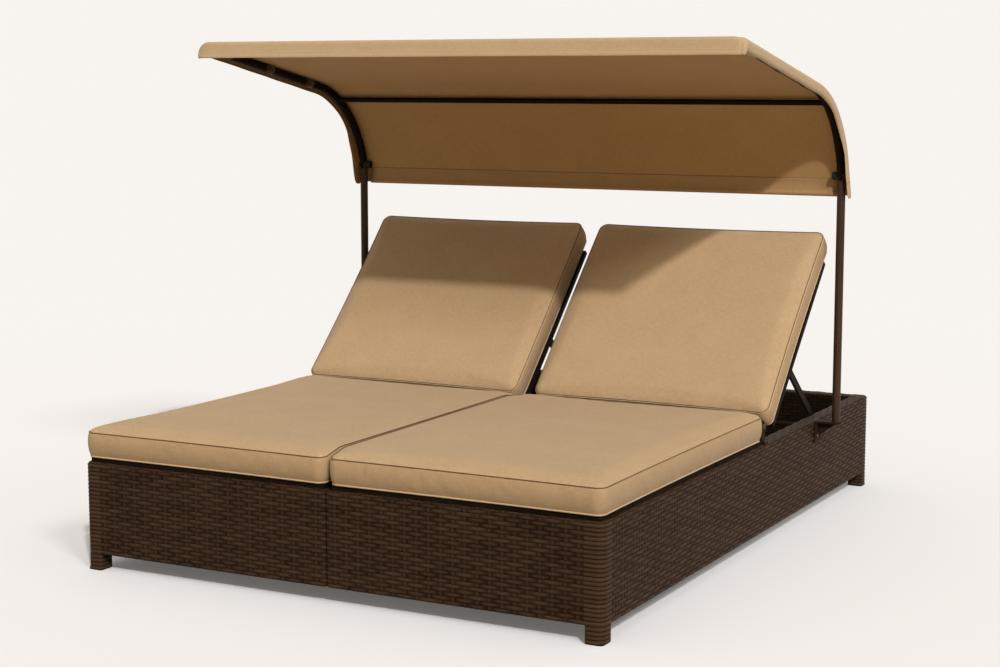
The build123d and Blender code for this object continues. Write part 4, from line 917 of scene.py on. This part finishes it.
def canvas_finish(name, colour, darker, lighter, thread):
    """Canopy canvas: cloth threads and the sheet's sewn edges over its flat coordinates."""
    finish, tree = new_finish(name)
    spots = put(tree, "ShaderNodeUVMap", uv_map="cloth").outputs[0]
    clouded, rough, height = cloth_look(spots, colour, darker, lighter, 0.0011)
    sewn = put(tree, "ShaderNodeGroup", {"Coordinates": spots}, node_tree=sewn_group).outputs
    banded = blend_colours(times(sewn["Band"], 0.35), clouded, lighter)
    stitched = blend_colours(times(sewn["Stitch"], 0.75), banded, thread)
    # Painted shade: a dark line along the pocket's row, where the canvas folds.
    crease_shaded = blend_colours(times(sewn["Seam"], 0.55), stitched, (0.10, 0.060, 0.030, 1))
    raised = put(tree, "ShaderNodeBump", {"Height": sewn["Ridge"], "Strength": 0.5,
                                          "Distance": 0.0012})
    shade_skin(crease_shaded, rough, height, *thread_bump, cloth_gloss, raised.outputs[0])
    return finish


canvas = canvas_finish("canopy_canvas", (0.525, 0.367, 0.215, 1), (0.468, 0.317, 0.178, 1),
                       (0.56, 0.400, 0.243, 1), (0.26, 0.165, 0.085, 1))
# Painted shade: the canvas underside is a darker, warmer copy of the top's colours, for the shade
# under the canopy.
shaded_side = canvas_finish("canopy_canvas_underside_shade", (0.455, 0.275, 0.116, 1),
                            (0.398, 0.233, 0.094, 1), (0.48, 0.297, 0.130, 1),
                            (0.22, 0.135, 0.065, 1))
canopy = surface("canopy_sheet", [(*canopy_sheet(), False, False)], canvas)
canopy.data.materials.append(shaded_side)
thick = canopy.modifiers.new("canvas", "SOLIDIFY")
thick.thickness, thick.offset, thick.use_even_offset = canvas_thick, -1, True
# The inner faces of the thickened sheet take that shaded copy.
thick.material_offset = 1
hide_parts("canopy_fabric")
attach(canopy, "canopy")

rod_turn, sleeve_half, pocket_thick = 0.0066, 0.792, 0.0009
rod_run, rod_out = rear_end - 0.0065, 0.0069


def rod_pocket():
    """The rear pocket: a strip of canvas sewn on 50 mm above the hem and carried across. Its
    section runs down inside the sheet, then turns round the rod and comes back to the hem."""
    turn = np.linspace(math.radians(150), math.radians(-40), 26)
    sheet_out = canopy_out - canvas_thick - 0.0002
    leave_run = rod_run + rod_turn * math.cos(turn[0])
    leave_out = rod_out - rod_turn * math.sin(turn[0])
    run = np.concatenate([np.linspace(pocket_start, leave_run, 10)[:-1],
                          rod_run + rod_turn * np.cos(turn)])
    ease = np.linspace(0, 1, 10)[:-1] ** 2
    out = np.concatenate([sheet_out + (leave_out - sheet_out) * ease,
                          rod_out - rod_turn * np.sin(turn)])
    out = np.minimum(out, sheet_out)
    ahead = np.gradient(run), np.gradient(out)
    size = np.hypot(*ahead) / pocket_thick
    ring_run = np.concatenate([run, (run + ahead[1] / size)[::-1]])
    ring_out = np.minimum(np.concatenate([out, (out - ahead[0] / size)[::-1]]), sheet_out)
    x = np.linspace(-sleeve_half, sleeve_half, 61)[:, None]
    steps = run_lengths(together(ring_run, ring_out))
    lines = together(x, np.append(steps, steps[-1] + 0.001))
    return surface("rod_pocket", [(on_arms(x, ring_run, ring_out), lines, False, True)],
                   pocket_shade_cloth)


# Painted shade: the pocket's canvas is a darker copy, like the underside's, for the shade at the
# canopy's rear.
pocket_shade_cloth = cloth("pocket_canvas_shade", (0.42, 0.258, 0.118, 1), (0.37, 0.22, 0.095, 1),
                     (0.445, 0.28, 0.133, 1), 0.0011)
pocket = rod_pocket()
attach(pocket, "canopy")


def arm_loops():
    """Six sewn loops: a flat band round each arm at three places, as a ring round the arm's centre
    line. Its outer side stands out by 0.8 mm * sin(a) ** 6 more on top, up to the sheet."""
    turn = np.linspace(0, 2 * math.pi, 33)[:-1, None]
    edges = np.array([-0.020, -0.0198, 0.0198, 0.020, 0.0198, -0.0198])
    radius = np.array([0.0126, 0.0134, 0.0134, 0.0126, 0.01215, 0.01215])
    radius = radius + 0.0008 * np.clip(np.sin(turn), 0, 1) ** 6 * (radius > 0.0125)
    lines = together(np.arange(33)[:, None] * 0.0026, np.arange(7) * 0.02)
    grids = [(on_arms(side * pole_x + radius * np.cos(turn), edges - arm_front * share,
                      radius * np.sin(turn)), lines, True, True)
             for side in (-1, 1) for share in (0.12, 0.5, 0.88)]
    return surface("arm_loops", grids, webbing)


webbing = cloth("loop_webbing", (0.060, 0.036, 0.020, 1), (0.042, 0.025, 0.014, 1),
                (0.07, 0.045, 0.027, 1), 0.0018)
loops = arm_loops()
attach(loops, "canopy")
